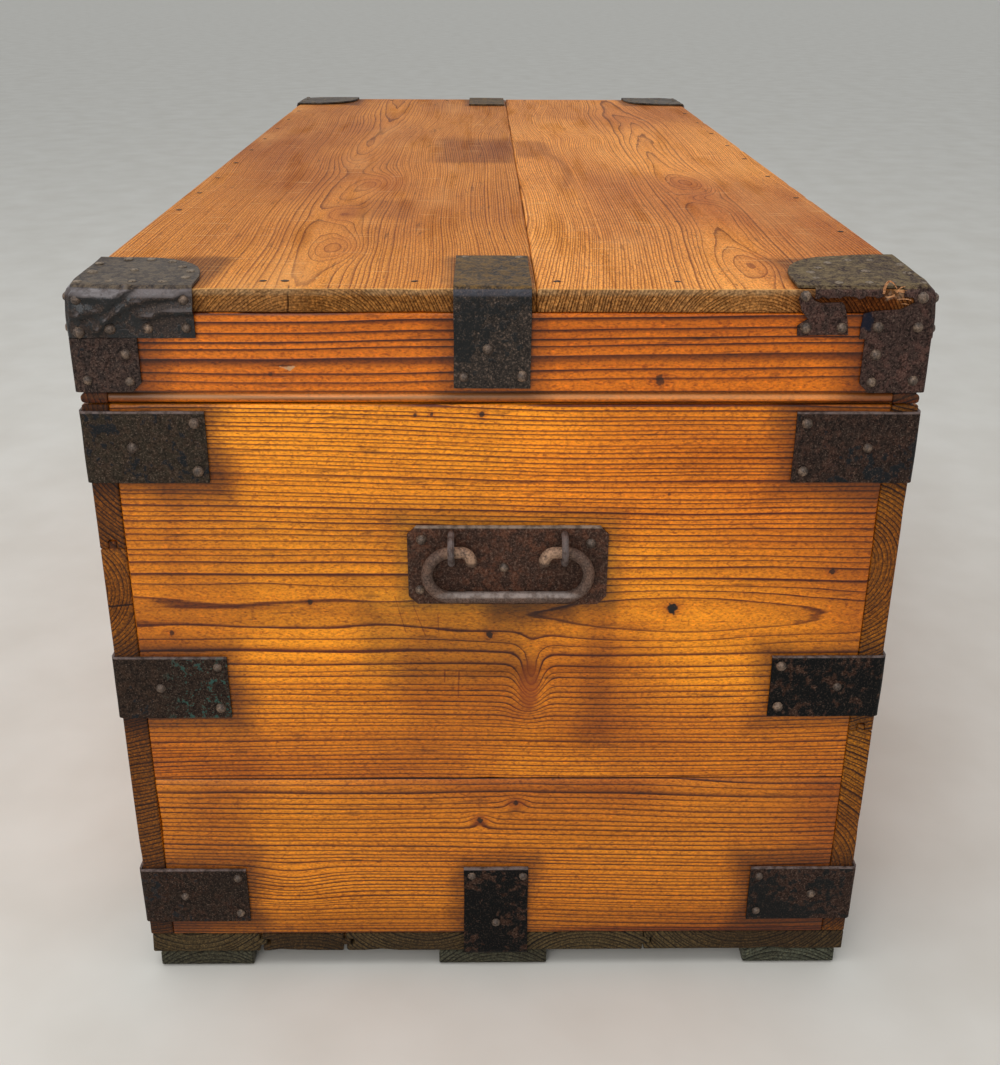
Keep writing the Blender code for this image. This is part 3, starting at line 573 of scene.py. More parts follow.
def rail_marks(xyz, grain):
    """Stains on a lid rail, round its corner angles and middle strap and in the quirk of its bead, a painted
    highlight along the upper part of the bead, and on the near one a flake that has broken away."""
    x, y, z = (xyz[axis] for axis in "XYZ")
    torn = (grain(30, 0.6, 3, 40) - 0.5) * 0.022
    corner = ((ANGLE[0].x - abs(x)).most(-ANGLE[1].y - abs(y)) + torn).rise(0.030, 0.0)
    quirk = abs(z - QUIRK_Z).rise(0.0016, 0.0004)
    # bead: a painted highlight along the upper part of the bead
    bead = abs(z - BEAD_HIGHLIGHT_Z).rise(0.0024, 0.0008)
    near_end = x.rise(END - 0.003, END - 0.001)
    flake = ((z - 0.4800 + (y + 0.1400) * 0.45) * 2.2).least((z - 0.4786) * 0.9 - 0.1300 - y)
    flake = flake.least(0.4799 - z)
    chip = (flake + (grain(420, 1.0, 3, 52) - 0.5) * 0.0040).rise(0.0, 0.0008) * near_end
    chip_tail = hump(y, z, (-0.1368, 0.4803), (0.0070, 0.0007)) * near_end
    return [
        # painted highlight on the bead
        (bead * 0.45, tint(226, 160, 100), "MIX"),
        (corner * 0.78, SOOT),
        (lid_strap_soot(xyz, torn, 0.020) * 0.6, SOOT),
        (quirk * 0.8, SOOT),
        (grain(8, 0.4, 3, 43).rise(0.5, 0.8) * 0.5, (0.5, 0.38, 0.3, 1)),
        (chip_tail, SOOT),
        (chip * 0.7, tint(192, 160, 120), "MIX"),
    ]


print("bead at", round(BEAD_HIGHLIGHT_Z, 4), "and crack at", CRACK_Z)


# %% Marks on the lid
def top_marks(xyz, grain):
    """Stains on the lid: round its iron, a spill near the middle, scratches, and edges that are rubbed pale
    and carry a painted highlight.
    """
    x, y, z = (xyz[axis] for axis in "XYZ")
    torn = (grain(22, 0.5, 3, 40) - 0.5) * 0.030
    fine = (grain(150, 0.5, 3, 46) - 0.5) * 0.012
    ragged = torn * 0.6 + fine
    cap = ((CAP[0].x - abs(x)).most(-CAP[1].y - abs(y)) + torn).rise(0.014, 0.0)
    spill = (x + ragged).rise(-0.170, -0.105) * (x + ragged).rise(0.062, 0.040)
    spill = spill * (y + ragged).rise(-0.074, -0.046) * (y + fine).rise(0.026, 0.014)
    run_round = ((x - 0.10) / 0.19) ** 2 + ((y - 0.012) / 0.056) ** 2
    spill_run = abs(run_round - 1.0).rise(0.22, 0.02) * y.rise(0.014, 0.030) * x.rise(0.26, 0.16)
    spill_over = hump(x, y + fine, (-0.055, 0.036), (0.085, 0.030)).rise(0.35, 0.7) * y.rise(0.020, 0.026)
    old_spill = beside([(x, 0.28, 0.33), (y, -0.112, -0.080)], 0.030, torn * 2)
    scratch = grain(26, 22, 1, 61).rise(0.70, 0.74).most(grain(330, 0.45, 1, 64).rise(0.76, 0.80))
    dent = grain(150, 0.5, 1, 67).rise(0.76, 0.80)
    rubbed = grain(14, 0.3, 3, 70).rise(0.52, 0.74)
    # edge: the lid's rounded near edge, rubbed pale and also given a painted highlight
    edge = abs(x).rise(END - 0.0035, END - 0.001) * z.rise(LID_TOP - 0.005, LID_TOP - 0.002)
    frayed = beside([(x, END - 0.006, 1.0), (y, 0.2375, 0.2465), (z, LID_TOP - 0.004, 1.0)], 0.003, fine)
    crack = abs(y + 0.131 + fine * 0.3).rise(0.0009, 0.0003) * x.rise(END - 0.016, END - 0.004)
    bared = beside([(x, END - 0.003, 1.0), (y, 0.186, 0.236)], 0.010, torn)
    top = z.rise(LID_TOP - 0.004, LID_TOP - 0.001)
    return [
        (rubbed * 0.35, tint(226, 160, 92), "MIX"),
        (cap * (0.35 + top * 0.35), SOOT),
        (lid_strap_soot(xyz, torn, 0.010) * 0.6, SOOT),
        (crack * 0.9, SOOT),
        (spill * 0.75, (0.48, 0.38, 0.32, 1)),
        (spill_over.most(spill_run * 0.8) * 0.65, (0.50, 0.40, 0.33, 1)),
        (old_spill * 0.5, (0.45, 0.30, 0.22, 1)),
        (grain(6, 0.3, 3, 43).rise(0.45, 0.8) * 0.4, (0.60, 0.42, 0.30, 1)),
        (dent * 0.45, (0.28, 0.2, 0.15, 1)),
        (scratch * 0.45, tint(236, 190, 128), "MIX"),
        # rubbed edge with a painted highlight
        (edge * (0.35 + grain(60, 1, 2, 76).rise(0.35, 0.6) * 0.4), tint(222, 168, 100), "MIX"),
        (bared * 0.8, (0.54, 0.40, 0.30, 1)),
        (frayed * grain(160, 0.3, 2, 73).rise(0.35, 0.6) * 0.7, tint(222, 174, 120), "MIX"),
    ]


print("marks are ready for ends, sides, rails and lid")

# %% [markdown]
# ## One log for each board
# No two boards come from the same place in a tree. Each gets its own heart, ring width and knots: the
# upper board of the near end has its heart behind its middle, so its lines are wide there and close above
# and below, with one branch that runs down like a feather. A knot is a row of its place along and across
# the board, its two half widths, how far it pushes the rings and how red its core is. A speck is a row of
# its place, its size and its strength.

# %% Knots and specks
FEATHER = [
    (0.0215, 0.2510, 0.0088, 0.0220, -0.0115, 0.0), (0.0200, 0.2500, 0.0080, 0.0250, 0.0, 0.95),
    (0.0120, 0.2290, 0.0080, 0.0080, -0.002, 0.3), (0.1200, 0.3090, 0.1300, 0.0240, -0.003, 0.0),
]
LOW_KNOTS = [
    (0.0119, 0.1509, 0.008, 0.006, 0.004, 0.4), (-0.0143, 0.1360, 0.008, 0.006, 0.004, 0.4),
    (-0.155, 0.078, 0.03, 0.02, -0.006, 0.0),
]
FAR_KNOTS = [(-0.09, 0.33, 0.012, 0.016, -0.009, 0.6)]
LID_EYES = [
    (0.330, -0.122, 0.040, 0.016, 0.006, 0.35), (0.176, -0.100, 0.060, 0.022, -0.007, 0.3),
    (0.462, -0.112, 0.045, 0.018, -0.006, 0.25), (0.100, -0.120, 0.090, 0.030, 0.006, 0.0),
]
BACK_EYES = [
    (0.166, 0.174, 0.045, 0.020, -0.006, 0.3), (0.252, 0.176, 0.035, 0.016, 0.005, 0.2),
    (0.514, 0.171, 0.045, 0.018, -0.005, 0.25), (-0.155, 0.093, 0.060, 0.030, 0.007, 0.2),
]
END_SPECKS = [
    (0.1166, 0.3097, 0.0040, 1.0), (0.1097, 0.3939, 0.0012, 0.6), (-0.1287, 0.3151, 0.0022, 0.85),
    (-0.2238, 0.2916, 0.0020, 0.8), (-0.0071, 0.2898, 0.0028, 0.9), (-0.0126, 0.4485, 0.0022, 0.9),
    (-0.0550, 0.4479, 0.0012, 0.8), (-0.0443, 0.4485, 0.0013, 0.8), (0.2224, 0.3376, 0.0022, 0.85),
]
PIN_KNOTS = [(0.0119, 0.1509, 0.0022, 0.85), (-0.0143, 0.1360, 0.0026, 0.9)]
RAIL_SPECKS = [(0.0993, 0.4711, 0.0036, 0.8), (-0.1449, 0.4748, 0.0016, 0.6)]
print(len(END_SPECKS), "specks on the near end's upper board")

# %% End, rail and lid woods
AMBER = (tint(253, 157, 24), tint(98, 36, 2))
DEEP_AMBER = (tint(229, 139, 24), tint(80, 30, 2))
RUSSET = (tint(214, 113, 12), tint(72, 24, 2))
LID_AMBER = (tint(212, 138, 58), tint(136, 75, 25))
LID_GOLD = (tint(236, 158, 74), tint(150, 88, 34))
END_BOARD = {"outside": outside_walls, "marks": end_marks}
SHORT_RAIL = {"outside": outside_walls, "marks": rail_marks, "roughness": 0.36}
LONG_RAIL = {"outside": outside_walls, "marks": rail_marks, "half_length": END}
LID_BOARD = {"outside": outside_lid, "marks": top_marks, "half_length": END, "gloss": 0.25,
             "end_tint": (0.43, 0.48, 0.70, 1), "roughness": 0.56}

woods = {
    "end_right_upper": pine("end_pine", "YZX", (0.306, END - 0.080), 0.0027, *AMBER, 1.0, taper=0.004,
                            knots=FEATHER, specks=END_SPECKS, **END_BOARD),
    "end_right_lower": pine("end_pine_low", "YZX", (0.200, END - 0.055), 0.0031, *DEEP_AMBER, 2.0,
                            wander=0.03, knots=LOW_KNOTS, specks=PIN_KNOTS, **END_BOARD),
    "end_left_upper": pine("far_end_pine", "YZX", (0.250, 0.045 - END), 0.0028, *AMBER, 3.0, taper=0.006,
                           knots=FAR_KNOTS, **END_BOARD),
    "end_left_lower": pine("far_end_pine_low", "YZX", (0.060, 0.050 - END), 0.0026, *DEEP_AMBER, 4.0,
                           **END_BOARD),
    "lid_rail_right": pine("near_rail_pine", "YZX", (0.395, END - 0.050), 0.0058, *RUSSET, 5.0,
                           specks=RAIL_SPECKS, **SHORT_RAIL),
    "lid_rail_left": pine("far_rail_pine", "YZX", (0.540, 0.040 - END), 0.0050, *RUSSET, 6.0, **SHORT_RAIL),
    "lid_rail_front": pine("front_rail_pine", "XZY", (0.470, 0.050 - SIDE), 0.0042, *RUSSET, 7.0,
                           taper=0.012, **LONG_RAIL),
    "lid_rail_back": pine("back_rail_pine", "XZY", (0.560, SIDE - 0.045), 0.0040, *RUSSET, 8.0,
                          taper=0.010, **LONG_RAIL),
    "lid_top_front": pine("lid_pine_front", "XYZ", (-0.128, LID_TOP - 0.044), 0.0018, *LID_AMBER, 9.0,
                          taper=0.010, wander=0.05, knots=LID_EYES, **LID_BOARD),
    "lid_top_back": pine("lid_pine_back", "XYZ", (0.165, LID_TOP - 0.050), 0.0019, *LID_GOLD, 10.0,
                         taper=-0.010, wander=0.06, knots=BACK_EYES, **LID_BOARD),
}
print(len(woods), "end, rail and lid woods")

# %% Wall, floor and runner woods
FLOOR_GREY = (tint(97, 81, 52), tint(20, 15, 9))
RUNNER_GREY = (tint(98, 101, 86), tint(23, 22, 17))
FRONT_END = (0.27, 0.25, 0.25, 1)
BACK_END = (0.33, 0.35, 0.34, 1)
WALL_HEARTS = {"front_upper": (0.455, 0.075), "front_lower": (0.328, -0.024),
               "back_upper": (0.340, 0.040), "back_lower": (0.090, 0.060)}
FLOOR_HEARTS = (-0.230, -0.150, -0.055, 0.070, 0.190)
RUNNERS = ("front", "middle", "back")

for number, (node, (height, through)) in enumerate(WALL_HEARTS.items()):
    facing, end_tint = (-1, FRONT_END) if node.startswith("front") else (1, BACK_END)
    knot = (0.31 - 0.2 * number, height + 0.03, 0.03, 0.012, 0.008, 0.5)
    woods[node] = pine(f"{node}_pine", "XZY", (height, facing * (SIDE - through)), 0.0029, *AMBER,
                       11.0 + number, taper=0.010, wander=0.04, half_length=END, end_tint=end_tint,
                       outside=outside_walls, marks=side_marks, knots=[knot])
for number, heart in enumerate(FLOOR_HEARTS, 1):
    woods[f"floor_{number}"] = pine(
        f"floor_{number}_pine", "XYZ", (heart, 0.08 if number % 2 else -0.035), 0.0030, *FLOOR_GREY,
        20.0 + number, half_length=END, end_tint=(0.62, 0.62, 0.60, 1), outside=outside_floor,
        roughness=0.68)
for number, name in enumerate(RUNNERS):
    woods[f"runner_{name}"] = pine(
        f"{name}_runner_pine", "XYZ", ((number - 1) * 0.22, -0.04), 0.0032, *RUNNER_GREY, 30.0 + number,
        half_length=END, end_tint=(0.6, 0.62, 0.62, 1), roughness=0.72)
print(len(woods), "woods in all")

# %% [markdown]
# ## Worn boards
# The CAD boards have crisp edges. On the trunk the edges are rounded by wear and here and there chipped. A
# bevel gives the same round everywhere, so each board is copied, sliced into a net that is finest near its
# edges, and pressed into a rounded box whose radius changes from place to place. Flat faces stay where they
# were, and all that the CAD cut into the board stays cut.

# %% Copy, slice and finish
BODY = {node: body for body, nodes in frame["record"]["behaviour"]["bodies"].items() for node in nodes}
SLOT = {row["node"]: row["material_slot"] for row in frame["record"]["subparts"]}


def netted(node, net, rims=()):
    """A copy of a CAD node's mesh, merged back into flat faces and then sliced into a net, with further
    slices at the distances of the rims from its ends."""
    bm = bmesh.new()
    bm.from_mesh(NODES[node].data)
    bmesh.ops.remove_doubles(bm, verts=bm.verts, dist=2e-6)
    bmesh.ops.dissolve_limit(bm, angle_limit=math.radians(0.3), verts=bm.verts, edges=bm.edges)
    low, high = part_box(node)
    for axis in range(3):
        span = high[axis] - low[axis]
        count = max(1, round(span / net))
        places = [low[axis] + span * i / count for i in range(1, count)]
        places += [low[axis] + rim for rim in rims] + [high[axis] - rim for rim in rims]
        normal = Vector([float(i == axis) for i in range(3)])
        for place in places:
            bmesh.ops.bisect_plane(bm, geom=bm.verts[:] + bm.edges[:] + bm.faces[:], dist=1e-6,
                                   plane_co=normal * place, plane_no=normal)
    return bm


def piece(name, bm, material, node, smooth=35, added=False):
    """Finishes a mesh as a piece on a CAD node's body. Unless it is added, it stands for the node."""
    made = meshed(name, bm, material)
    made.data.shade_smooth()
    made.data.set_sharp_from_angle(angle=math.radians(smooth))
    if not added:
        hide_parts(node)
    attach(made, BODY[node])
    return made


def faces(pieces):
    return sum(len(made.data.polygons) for made in pieces)


print(len(set(BODY.values())), "bodies,", len(set(SLOT.values())), "material slots")

# %% Wear the boards
NET = 0.014
RIMS = (0.0007, 0.0018, 0.0035)
WEAR = {"pine": (0.0010, 0.006), "lid_pine": (0.0017, 0.009), "floor_pine": (0.0014, 0.010),
        "runner_pine": (0.0022, 0.010)}
WEAR_WAVE, WEAR_SWING = 13, 0.6
CHIP_WAVE, CHIP_FROM = 41, 0.28
CORNER_ROUND = 0.0075
CORNER_REACH = 0.024
CORNER_SPARE = 1.15


def corner_round(point):
    """The radius to which a knocked corner of the lid has been rounded at a point near it."""
    away = Vector((END - abs(point.x), SIDE - abs(point.y), LID_TOP - point.z)).length
    return CORNER_ROUND * max(0.0, 1 - away / CORNER_REACH)


def worn_board(node, wear, chips, seed):
    low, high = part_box(node)
    bm = netted(node, NET, RIMS)
    shift = Vector((seed * 3.1, seed * 5.7, seed * 1.3))
    for v in bm.verts:
        bite = wear * (1 + WEAR_SWING * noise.noise(v.co * WEAR_WAVE + shift))
        bite += chips * max(0.0, noise.noise(v.co * CHIP_WAVE - shift) - CHIP_FROM)
        if SLOT[node] == "lid_pine":
            bite = max(bite, CORNER_SPARE * corner_round(v.co))
        kept = Vector([min(max(c, lo + bite), hi - bite) for c, lo, hi in zip(v.co, low, high)])
        out = v.co - kept
        if out.length > bite * 1.0001:
            v.co = kept + out * (bite / out.length)
    return piece(f"{node}_board", bm, woods[node], node)


boards = [worn_board(node, *WEAR[SLOT[node]], seed) for seed, node in enumerate(sorted(woods))]
print(len(boards), "boards,", faces(boards), "faces")

# %% [markdown]
# ## Iron
# The straps and caps are sheet iron that was painted black once. Most of the paint has gone: what shows is
# brown scale and fine rust, with islands of paint that have sharp edges, and pits that catch the light.
# Two scales of noise make the islands, because one alone gives round clouds. A third makes the pits and a
# fourth the grit between them. One function makes every iron, and each piece says how much paint and rust
# it kept.

# %% Iron
def iron(name, seed, paint=0.60, scale=tint(54, 43, 37), rust=tint(92, 62, 48), rusty=0.6,
         coat=tint(13, 16, 20), shine=0.3, gleam=0.19, smooth=0.0, flecks=0.36, pitted=0.9,
         dust=tint(116, 104, 91), extra=None):
    """Sheet iron. A lower paint level leaves more paint, dust lies on what is above the lid, and extra adds
    colours of one piece's own."""
    material, shader, place = blank(name)

    def patch(size, detail, shift):
        offset = (seed + shift, 2.3 * seed + shift, seed - shift)
        return place.scaled((size, size, size), offset).cloud(detail, 0.6)

    broad = patch(30, 3, 0.0)
    mottled = patch(170, 4, 5.0)
    pits = patch(580, 2, 9.0)
    grit = patch(1000, 1, 13.0)
    xyz = axes(place)
    up = xyz[2].rise(LID_TOP + 0.0002, LID_TOP + 0.0012)
    painted = (broad * 0.5 + mottled * 0.5).rise(paint - 0.02, paint + 0.03) * (1 - up * 0.85)
    settled = broad.rise(0.40, 0.60) * 0.16 + mottled.rise(0.46, 0.56) * 0.42 + pits.rise(0.49, 0.57) * 0.30
    own = extra(xyz, mottled, pits) if extra else ()
    metal = layered((mottled.rise(0.42, 0.62) * broad.rise(0.3, 0.6) * rusty).between(scale, rust), [
        (pits.rise(0.50, 0.38) * pitted, (0.26, 0.21, 0.18, 1)),
        (painted, coat, "MIX"),
        (pits.rise(0.56, 0.70) * (1 - painted * 0.6) * flecks, tint(136, 112, 96), "MIX"),
        (grit.rise(0.46, 0.36) * 0.6, (0.40, 0.36, 0.34, 1)),
        (grit.rise(0.60, 0.72) * (1 - painted * 0.5) * 0.26, tint(150, 128, 112), "MIX"),
        *[(mask, tone, "MIX") for mask, tone in own],
        (up * settled, dust, "MIX"),
    ])
    rough = 0.62 - painted * 0.24 + mottled * 0.14 - smooth + up * 0.14
    height = pits * 0.35 + mottled * 0.8 + painted * 0.35
    feed(shader, base_color=metal, roughness=rough, metallic=shine - painted * (shine - 0.1),
         normal=bump(height, 0.75, 0.0006))
    shader.inputs["Specular IOR Level"].default_value = gleam
    return material


print("iron is ready, with dust above", round(LID_TOP, 4), "m")


# %% Marks of straps and caps
def strap_edge_highlights(xyz, mottled, pits):
    """A painted highlight along the upper edge of each corner strap, in lighter metal."""
    edge = greatest([abs(xyz[2] - high.z).rise(0.0017, 0.0007) for low, high in STRAPS])
    return [(edge * (0.25 + mottled.rise(0.35, 0.6) * 0.6), tint(122, 106, 102))]


def teal_flecks(xyz, mottled, pits):
    """Specks of an old green-blue paint towards the inner end of one strap."""
    near = beside([(xyz[1], -0.214, -0.192), (xyz[2], 0.232, 0.260)], 0.026)
    specks = (mottled * 0.6 + pits * 0.4).rise(0.545, 0.585)
    return strap_edge_highlights(xyz, mottled, pits) + [(specks * near * 0.85, tint(44, 78, 70))]


def blue_patch(xyz, mottled, pits):
    """A dark blue remnant at the inner edge of the torn cap's flange and the angle below it."""
    near = beside([(xyz[1], 0.221, 0.226), (xyz[2], 0.506, 0.514)], 0.003, (mottled - 0.5) * 0.012)
    return [(near * 0.9, tint(9, 18, 34))]


def fold_of(z, below, above):
    """The bend from an upright flange to the top, from one depth under the lid's top to another."""
    return z.rise(LID_TOP - below, LID_TOP - above) * z.rise(LID_TOP + 0.0010, LID_TOP)


def fold_and_crease_light_and_shade(xyz, mottled, pits):
    """A cap's fold and the crests of its creases in grey metal, partly rubbed and partly painted highlight,
    with painted shade below the creases.
    """
    crest = mottled.node("ShaderNodeAttribute", {"attribute_name": "crest"}, None, out=2)
    blotchy = mottled.rise(0.3, 0.6)
    return [(fold_of(xyz[2], 0.0052, 0.0030) * (0.3 + blotchy * 0.45), tint(106, 98, 98)),
            (crest.rise(0.2, 0.9) * (0.45 + blotchy * 0.25), tint(108, 100, 100)),
            (crest.rise(-0.2, -0.9) * 0.8, tint(5, 5, 6))]


def lid_strap_marks(xyz, mottled, pits):
    """A hole that has lost its nail, a scrape beside it, and a painted highlight along its fold."""
    x, y, z = xyz
    hole = hump(abs(x), y, (END - 0.045, -0.0061), (0.0020, 0.0018)).rise(0.35, 0.7)
    scrape = hump(abs(x), y, (END - 0.044, 0.0020), (0.0012, 0.0060)).rise(0.3, 0.8)
    # the fold's band is a painted highlight
    return [(fold_of(z, 0.0046, 0.0026) * 0.4, tint(84, 84, 94)), (scrape * 0.5, tint(150, 126, 96)),
            (hole, tint(4, 4, 4))]


# a fold's lighter band is partly a painted highlight
print("a fold is rubbed near", round(LID_TOP, 4), "m")

# %% Marks of the handles
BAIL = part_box("bail_right")
ROD_HALF = 0.0040
BAIL_TOP = BAIL[1].z - ROD_HALF
BAIL_BAR = BAIL[0].z + ROD_HALF


def plate_marks(xyz, mottled, pits):
    """The staples in grey metal, and a painted highlight along the plate's upper edge."""
    staples = abs(xyz[0]).rise(END + 0.0040, END + 0.0075)
    # edge: a painted highlight where the plate's top edge catches the light
    edge = xyz[2].rise(PLATE[1].z - 0.0020, PLATE[1].z - 0.0008)
    blotchy = mottled.rise(0.35, 0.6) * 0.5
    return [(staples * (0.2 + blotchy), tint(112, 104, 102)), (edge * (0.3 + blotchy), tint(158, 140, 126))]


def bail_highlight_and_rust(xyz, mottled, pits):
    """A bail with a painted highlight along the top of its bar, where the hand takes it, and hooks that are
    dry with pale rust and cut tips.
    """
    z = xyz[2]
    aside = abs(xyz[1] - (PLATE[0].y + PLATE[1].y) / 2)
    # a painted highlight along the upper side of the bar
    bar_highlight = abs(z - (BAIL_BAR + 0.0026)).rise(0.0022, 0.0006) * aside.rise(0.052, 0.036)
    hooks = z.rise(BAIL_TOP - 0.017, BAIL_TOP - 0.010) * aside.rise(0.045, 0.034)
    dry = hooks * (mottled.rise(0.34, 0.52) * 0.45 + pits.rise(0.44, 0.58) * 0.4)
    tips = z.rise(BAIL_TOP - 0.0055, BAIL_TOP - 0.0078) * aside.rise(0.031, 0.028) * hooks
    return [(bar_highlight * (0.2 + mottled.rise(0.35, 0.6) * 0.45), tint(164, 152, 146)),
            (dry, tint(172, 138, 112)), (tips * 0.8, tint(62, 46, 38))]


print("the bail hangs from", round(BAIL_TOP, 4), "to", round(BAIL_BAR, 4))

# %% All the irons
irons = {
    "bare": iron("strap_iron", 1.0, 0.56, tint(48, 40, 30), tint(76, 54, 40), 0.5, flecks=0.14, pitted=0.7,
                 extra=strap_edge_highlights),
    "flecked": iron("flecked_strap_iron", 2.0, 0.58, tint(41, 29, 21), tint(74, 52, 38), 0.5, flecks=0.14,
                    extra=teal_flecks),
    "rusty": iron("rusty_strap_iron", 3.0, 0.54, tint(38, 27, 20), tint(80, 49, 33), 0.7, flecks=0.16,
                  extra=strap_edge_highlights),
    "brown": iron("brown_strap_iron", 4.0, 0.58, tint(44, 31, 25), tint(82, 54, 42), flecks=0.16,
                  extra=strap_edge_highlights),
    "black": iron("painted_strap_iron", 5.0, 0.445, tint(60, 41, 32), tint(120, 80, 58), 0.8,
                  tint(5, 6, 7), gleam=0.12, flecks=0.2, extra=strap_edge_highlights),
    "half": iron("half_painted_strap_iron", 6.0, 0.50, tint(50, 34, 27), tint(92, 60, 45), 0.7,
                 tint(7, 8, 9), flecks=0.18, extra=strap_edge_highlights),
    "angle": iron("angle_iron", 17.0, 0.62, tint(52, 41, 37), tint(84, 62, 53), flecks=0.16),
    "lid": iron("lid_strap_iron", 7.0, 0.51, tint(44, 36, 30), tint(76, 60, 46), 0.6, tint(7, 8, 9),
                gleam=0.3, smooth=0.1, dust=tint(110, 80, 32), extra=lid_strap_marks),
    "cap": iron("cap_iron", 8.0, 0.49, tint(46, 34, 28), tint(80, 58, 46), 0.6, tint(11, 11, 13),
                gleam=0.4, smooth=0.14, flecks=0.1, dust=tint(93, 79, 61), extra=fold_and_crease_light_and_shade),
    "torn": iron("torn_cap_iron", 9.0, 0.66, tint(58, 42, 37), tint(90, 62, 54), 0.8, flecks=0.14,
                 dust=tint(118, 102, 71), extra=blue_patch),
    "plate": iron("handle_plate_iron", 10.0, 0.68, tint(62, 42, 33), tint(106, 67, 49), 0.7, flecks=0.26,
                  pitted=0.6, extra=plate_marks),
    "bail": iron("bail_iron", 11.0, 0.75, tint(92, 74, 65), tint(118, 90, 75), pitted=0.45,
                 extra=bail_highlight_and_rust),
    "nail": iron("nail_iron", 12.0, 0.74, tint(76, 63, 54), tint(138, 114, 94), 0.9, gleam=0.45,
                 smooth=0.16, pitted=0.6),
    "flat_nail": iron("flat_nail_iron", 15.0, 0.75, tint(112, 99, 86), tint(84, 69, 58),
                      dust=tint(140, 126, 110)),
    "brad": iron("brad_iron", 13.0, 0.66, tint(62, 48, 40)),
    "fitting": iron("fittings_iron", 14.0, 0.70, tint(84, 78, 72), rusty=0.5, shine=0.8),
    "screw": iron("screw_iron", 16.0, 0.72, tint(112, 104, 96), rusty=0.4, shine=0.8),
}
print(len(irons), "irons")

# %% [markdown]
# ## Hammered sheet
# Sheet iron that was bent cold and nailed down by hand is never flat, and its edges waver. Each iron node is
# copied and sliced like the boards, then every point is shifted by a soft noise that changes slowly from
# place to place. Both faces of the sheet move together, so it keeps its thickness, and its buckles only
# stand outwards, away from the wood.

# %% Hammer the sheets
SHEET_NET = 0.007
BUCKLE_WAVE = 24
WAVER_WAVE = 34
WAVER_SEED = 1

# Unlike noise.noise, noise_vector starts from the clock unless it has a seed, and no two runs would agree.
noise.seed_set(WAVER_SEED)


def outward(point):
    """The way out of the trunk at a point beyond one of its faces."""
    out = Vector((0, 0, 0))
    if abs(point.x) > END:
        out.x = math.copysign(1, point.x)
    if abs(point.y) > SIDE:
        out.y = math.copysign(1, point.y)
    if point.z > LID_TOP:
        out.z = 1
    return out.normalized() if out.length else out


def rounded(point):
    """A point of a cap, drawn onto the round of the lid's corner. The sheet keeps its thickness."""
    round_here = corner_round(point)
    inner = [END - round_here, SIDE - round_here, LID_TOP - round_here]
    kept = Vector([math.copysign(min(abs(c), k), c) for c, k in zip(point, inner)])
    out = point - kept
    return kept + out * (max(abs(c) for c in out) / out.length) if out.length > 1e-9 else point


def hammered(node, metal, seed, net=SHEET_NET, buckle=0.0006, waver=0.0004, dent=None):
    bm = netted(node, net)
    shift = Vector((seed * 2.9, seed * 1.1, seed * 4.3))
    # the crest tone holds a painted highlight above each crease and painted shade below it
    tone = bm.verts.layers.float.new("crest") if dent else None
    for v in bm.verts:
        way = outward(v.co)
        if node.startswith("lid_cap"):
            v.co = rounded(v.co)
        lift = buckle * (0.5 + 0.5 * noise.noise(v.co * BUCKLE_WAVE + shift))
        if dent:
            depth, v[tone] = dent(v.co)
            lift += depth
        v.co += way * lift + noise.noise_vector(v.co * WAVER_WAVE - shift) * waver
    return piece(f"{node}_iron", bm, irons[metal], node)


STRAP_METALS = {"front_right": ("bare", "flecked", "rusty"), "back_right": ("brown", "black", "half"),
                "front_left": ("brown", "black", "half"), "back_left": ("bare", "rusty", "brown")}
METALS = {f"strap_{corner}_{level}": metal for corner, metals in STRAP_METALS.items()
          for level, metal in zip(LEVELS, metals)}
METALS |= {
    "lid_strap_right": "lid", "lid_strap_left": "lid", "foot_strap_right": "black",
    "foot_strap_left": "rusty", "lid_angle_front_right": "angle", "lid_angle_back_right": "torn",
    "lid_angle_front_left": "angle", "lid_angle_back_left": "angle", "lid_cap_scrap": "torn",
    "handle_plate_right": "plate", "handle_plate_left": "plate",
}
sheets = [hammered(node, metal, seed) for seed, (node, metal) in enumerate(METALS.items())]
print(len(sheets), "sheets,", faces(sheets), "faces")

# %% [markdown]
# ## Dented caps
# The caps were folded over the corners and took every knock. The near left one is buckled along creases that
# run across its flange. A crease is a line on the flange: points near it stand out, and the sheet beside it
# falls back.

# %% Caps
CAP_NET = 0.0028
FAR_CAP_NET = CAP_NET * 1.6
CREASES = [
    [(-0.2486, 0.5019), (-0.2424, 0.5083), (-0.2339, 0.5147), (-0.2256, 0.5194), (-0.2160, 0.5222),
     (-0.2051, 0.5234), (-0.1965, 0.5250)],
    [(-0.2597, 0.5123), (-0.2502, 0.5139), (-0.2414, 0.5167), (-0.2379, 0.5202), (-0.2312, 0.5249),
     (-0.2277, 0.5281)],
    [(-0.2536, 0.5241), (-0.2476, 0.5226), (-0.2407, 0.5222), (-0.2311, 0.5253)],
    [(-0.2203, 0.5116), (-0.2061, 0.5140), (-0.2012, 0.5155), (-0.1889, 0.5148)],
]
CREASE_WIDE = 0.0042
CREASE_TALL = 0.0034
CREASE_LEAN = 0.35
CREST_WIDE = 0.0020
SHADE_BELOW = 0.8


